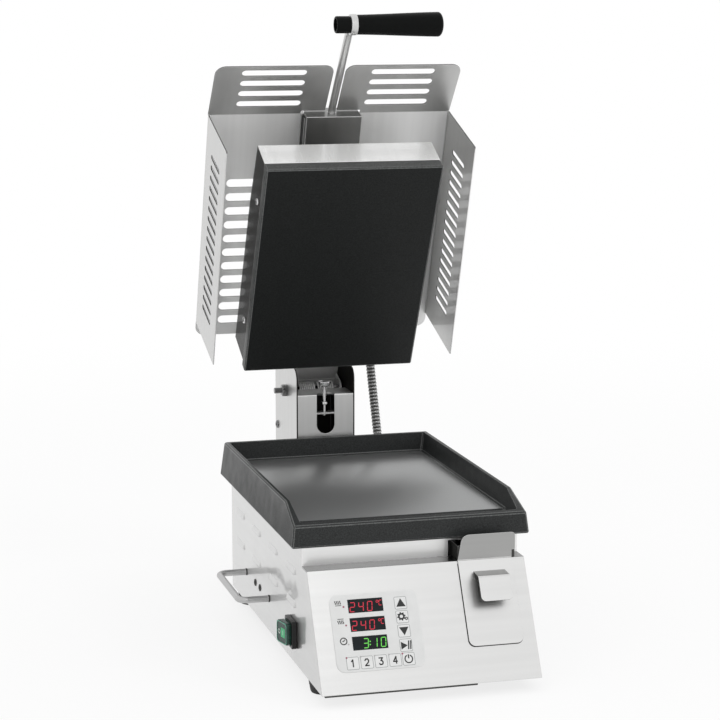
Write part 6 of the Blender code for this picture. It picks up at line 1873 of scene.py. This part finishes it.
def make_switch_cap():
    """The soft cap over the rocker."""
    mesh_data = bmesh.new()
    rings = []
    for half, corner, share, height in CAP_RINGS:
        ring = []
        for u, v in rectangle((-half, half), (-half, half), corner, 6):
            x = SWITCH_X - share * cap_face(u) - height
            ring.append(mesh_data.verts.new((x, SWITCH_Y + u, SWITCH_Z + v)))
        rings.append(ring)
    for first, second in zip(rings, rings[1:]):
        skin(mesh_data, first, second)
    mesh_data.faces.new(rings[-1])
    mesh = finish_mesh(mesh_data, "switch_cap_soft")
    piece = add_object("switch_cap_soft", mesh, "cap_green", "root", "switch_cap")
    thickened(piece, CAP_WALL)


def make_switch_marks():
    """The cap's lit field, its two marks and its border."""
    across = Vector((CAP_SLOPE, -1, 0)).normalized()
    out = Vector((-1, -CAP_SLOPE, 0)).normalized()
    place = Matrix((
        (across.x, 0, out.x, SWITCH_X - cap_face(0) + CAP_SINK),
        (across.y, 0, out.y, SWITCH_Y),
        (0, 1, 0, SWITCH_Z),
        (0, 0, 0, 1),
    ))
    radius = MARK_HEIGHT / 2
    rim = [circle(MARK_OFF, 0, radius), [circle(MARK_OFF, 0, radius - MARK_STROKE)]]
    line = bar((LIT_LEFT + LIT_RIGHT) / 2, 0, MARK_STROKE, MARK_HEIGHT)
    lit = rectangle((LIT_LEFT, LIT_RIGHT), (-LIT_HALF, LIT_HALF), MARK_STROKE)
    outer, inner = [rectangle(ends, (-half, half), corner) for ends, half, corner in BORDER]
    print_on("switch_lit", [lit], "cap_lit", 0, PRINT, place)
    print_on("switch_marks", [rim, line], "mark_white", PRINT, 2 * PRINT, place)
    border = [outer, [inner]]
    print_on("switch_border", [border], "cap_rim", CAP_SINK - PRINT, CAP_SINK + PRINT, place)


# CAD nodes with softened edges or a new finish
def dress_nodes():
    pieces = {row[0]: dressed(*row) for row in DRESSED}
    for finish, nodes in REPAINTED.items():
        for node in nodes:
            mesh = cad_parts[node].data
            mesh.materials.clear()
            mesh.materials.append(FINISH[finish])
    front = outward_of(HEAD_PLACE)

    def on_floor(face):
        return face.normal.z > FLAT_SHARE and FLOOR_LOW < face.center.z - TRAY_Z < FLOOR_HIGH

    def on_riser(face):
        return face.normal.y < -FLAT_SHARE and face.center.y > FRONT_Y + LIP_DEPTH

    def on_drawer_wall(face):
        return abs(face.normal.x) > FLAT_SHARE or face.normal.y < -FLAT_SHARE

    def under_cover(face):
        return face.normal.y < SHEARED_SHARE and face.center.z < COVER_Z

    # The rounded edges of the plates and the arm take painted highlight.
    for node, finish in EDGES_FIRST.items():
        edge_finish(pieces[node], finish)
    split_at(pieces["lift_arm"], ARM_FOOT_Z)
    split_at(pieces["post_back_cover"], COVER_Z)
    chosen = {
        # Painted sheen on the tray's floor
        "lower_plate": ("enamel_floor_painted_sheen", on_floor),
        # Painted sheen on the upper plate's sides
        "upper_plate": ("enamel_side_painted_sheen", lambda face: abs(face.normal.dot(front)) < FLAT_SHARE),
        # Painted shade on the housing's sides
        "upper_housing": ("steel_side_painted_shade", lambda face: abs(face.normal.x) > SHEARED_SHARE),
        # Painted shade on the ledge's top
        "control_panel": ("steel_ledge_painted_shade", lambda face: face.normal.z > FLAT_SHARE),
        # Painted light on the body's front faces
        "body_shell": ("steel_riser_painted_light", on_riser),
        # Painted shade on the drawer's walls
        "drawer_tray": ("steel_inside_painted_shade", on_drawer_wall),
        # The arm's foot takes the lighter copy, the part above keeps the painted dark reflection
        "lift_arm": ("steel_lighter_arm_foot", lambda face: face.center.z < ARM_FOOT_Z),
        # Painted shade under the post cover
        "post_back_cover": ("steel_inside_painted_shade", under_cover),
    }
    for node, (finish, test) in chosen.items():
        second_finish(pieces[node], finish, test)
    # The back cover's rounded edges take painted shade too.
    edge_finish(pieces["post_back_cover"], "steel_inside_painted_shade")


# Stage
def maths(tree, operation, first, second):
    node = add_node(tree, "Math", links={0: first, 1: second})
    node.operation = operation
    return node.outputs["Value"]


def seen_or_mirrored(tree):
    """One where a ray comes from the camera, a mirror or glass, else zero."""
    rays = add_node(tree, "LightPath").outputs
    seen = maths(tree, "MAXIMUM", rays["Is Camera Ray"], rays["Is Glossy Ray"])
    return maths(tree, "MAXIMUM", seen, rays["Is Transmission Ray"])


def make_world():
    world = bpy.data.worlds.new("studio")
    world.use_nodes = True
    bpy.context.scene.world = world
    tree = world.node_tree
    background = tree.nodes["Background"]
    background.inputs["Color"].default_value = (1, 1, 1, 1)
    ends = {"To Min": WORLD_DIFFUSE, "To Max": 1.0}
    strength = add_node(tree, "MapRange", ends, {"Value": seen_or_mirrored(tree)})
    tree.links.new(strength.outputs["Result"], background.inputs["Strength"])


def make_floor():
    """A pale floor that turns fully white away from the object and keeps its shadow near it."""
    mesh_data = bmesh.new()
    half = FLOOR_SIZE / 2
    corners = rectangle((-half, half), (-half, half))
    mesh_data.faces.new([mesh_data.verts.new((x, y, 0)) for x, y in corners])
    mesh = finish_mesh(mesh_data, "floor")
    floor = bpy.data.objects.new("floor", mesh)
    bpy.context.scene.collection.objects.link(floor)
    material = new_material("floor_white", FLOOR_COLOUR, FLOOR_ROUGHNESS)
    tree = material.node_tree
    away = add_node(tree, "VectorMath", links={0: add_node(tree, "TexCoord").outputs["Object"]})
    away.operation = "LENGTH"
    ends = {"From Min": FLOOR_FADE_START, "From Max": FLOOR_FADE_END}
    ends.update({"To Min": FLOOR_GLOW_SHARE, "To Max": 1.0})
    fade = add_node(tree, "MapRange", ends, {"Value": away.outputs["Value"]})
    fade.interpolation_type = "SMOOTHSTEP"
    amount = maths(tree, "MULTIPLY", fade.outputs["Result"], seen_or_mirrored(tree))
    glow = add_node(tree, "Emission").outputs["Emission"]
    shaders = {"Fac": amount, 1: shader_of(material).outputs["BSDF"], 2: glow}
    mix = add_node(tree, "MixShader", links=shaders)
    tree.links.new(mix.outputs["Shader"], tree.nodes["Material Output"].inputs["Surface"])
    mesh.materials.append(material)


def make_lights():
    for name, place, aim, size, power, mirrored in LIGHTS:
        data = bpy.data.lights.new(name, "AREA")
        data.shape = "SQUARE"
        data.size = size
        data.energy = power
        light = bpy.data.objects.new(name, data)
        light.location = place
        light.rotation_mode = "QUATERNION"
        light.rotation_quaternion = (Vector(aim) - Vector(place)).to_track_quat("-Z", "Y")
        light.visible_glossy = mirrored
        bpy.context.scene.collection.objects.link(light)


# The scene
make_camera()
make_materials()
make_hose()
make_glands()
make_guard(-1, "guard_left")
make_guard(1, "guard_right")
make_post_plates()
make_post_cover()
make_post_fixings()
make_axle()
make_springs()
make_height_screw()
make_rod()
make_grip()
make_carry_handles()
make_bottom_lip()
make_feet()
make_side_fixings()
make_louvres()
make_head_screws()
make_drawer_front()
make_pull()
make_keys()
make_print()
make_switch_cap()
make_switch_marks()
dress_nodes()
make_world()
make_floor()
make_lights()
bpy.context.scene.view_settings.view_transform = "Standard"
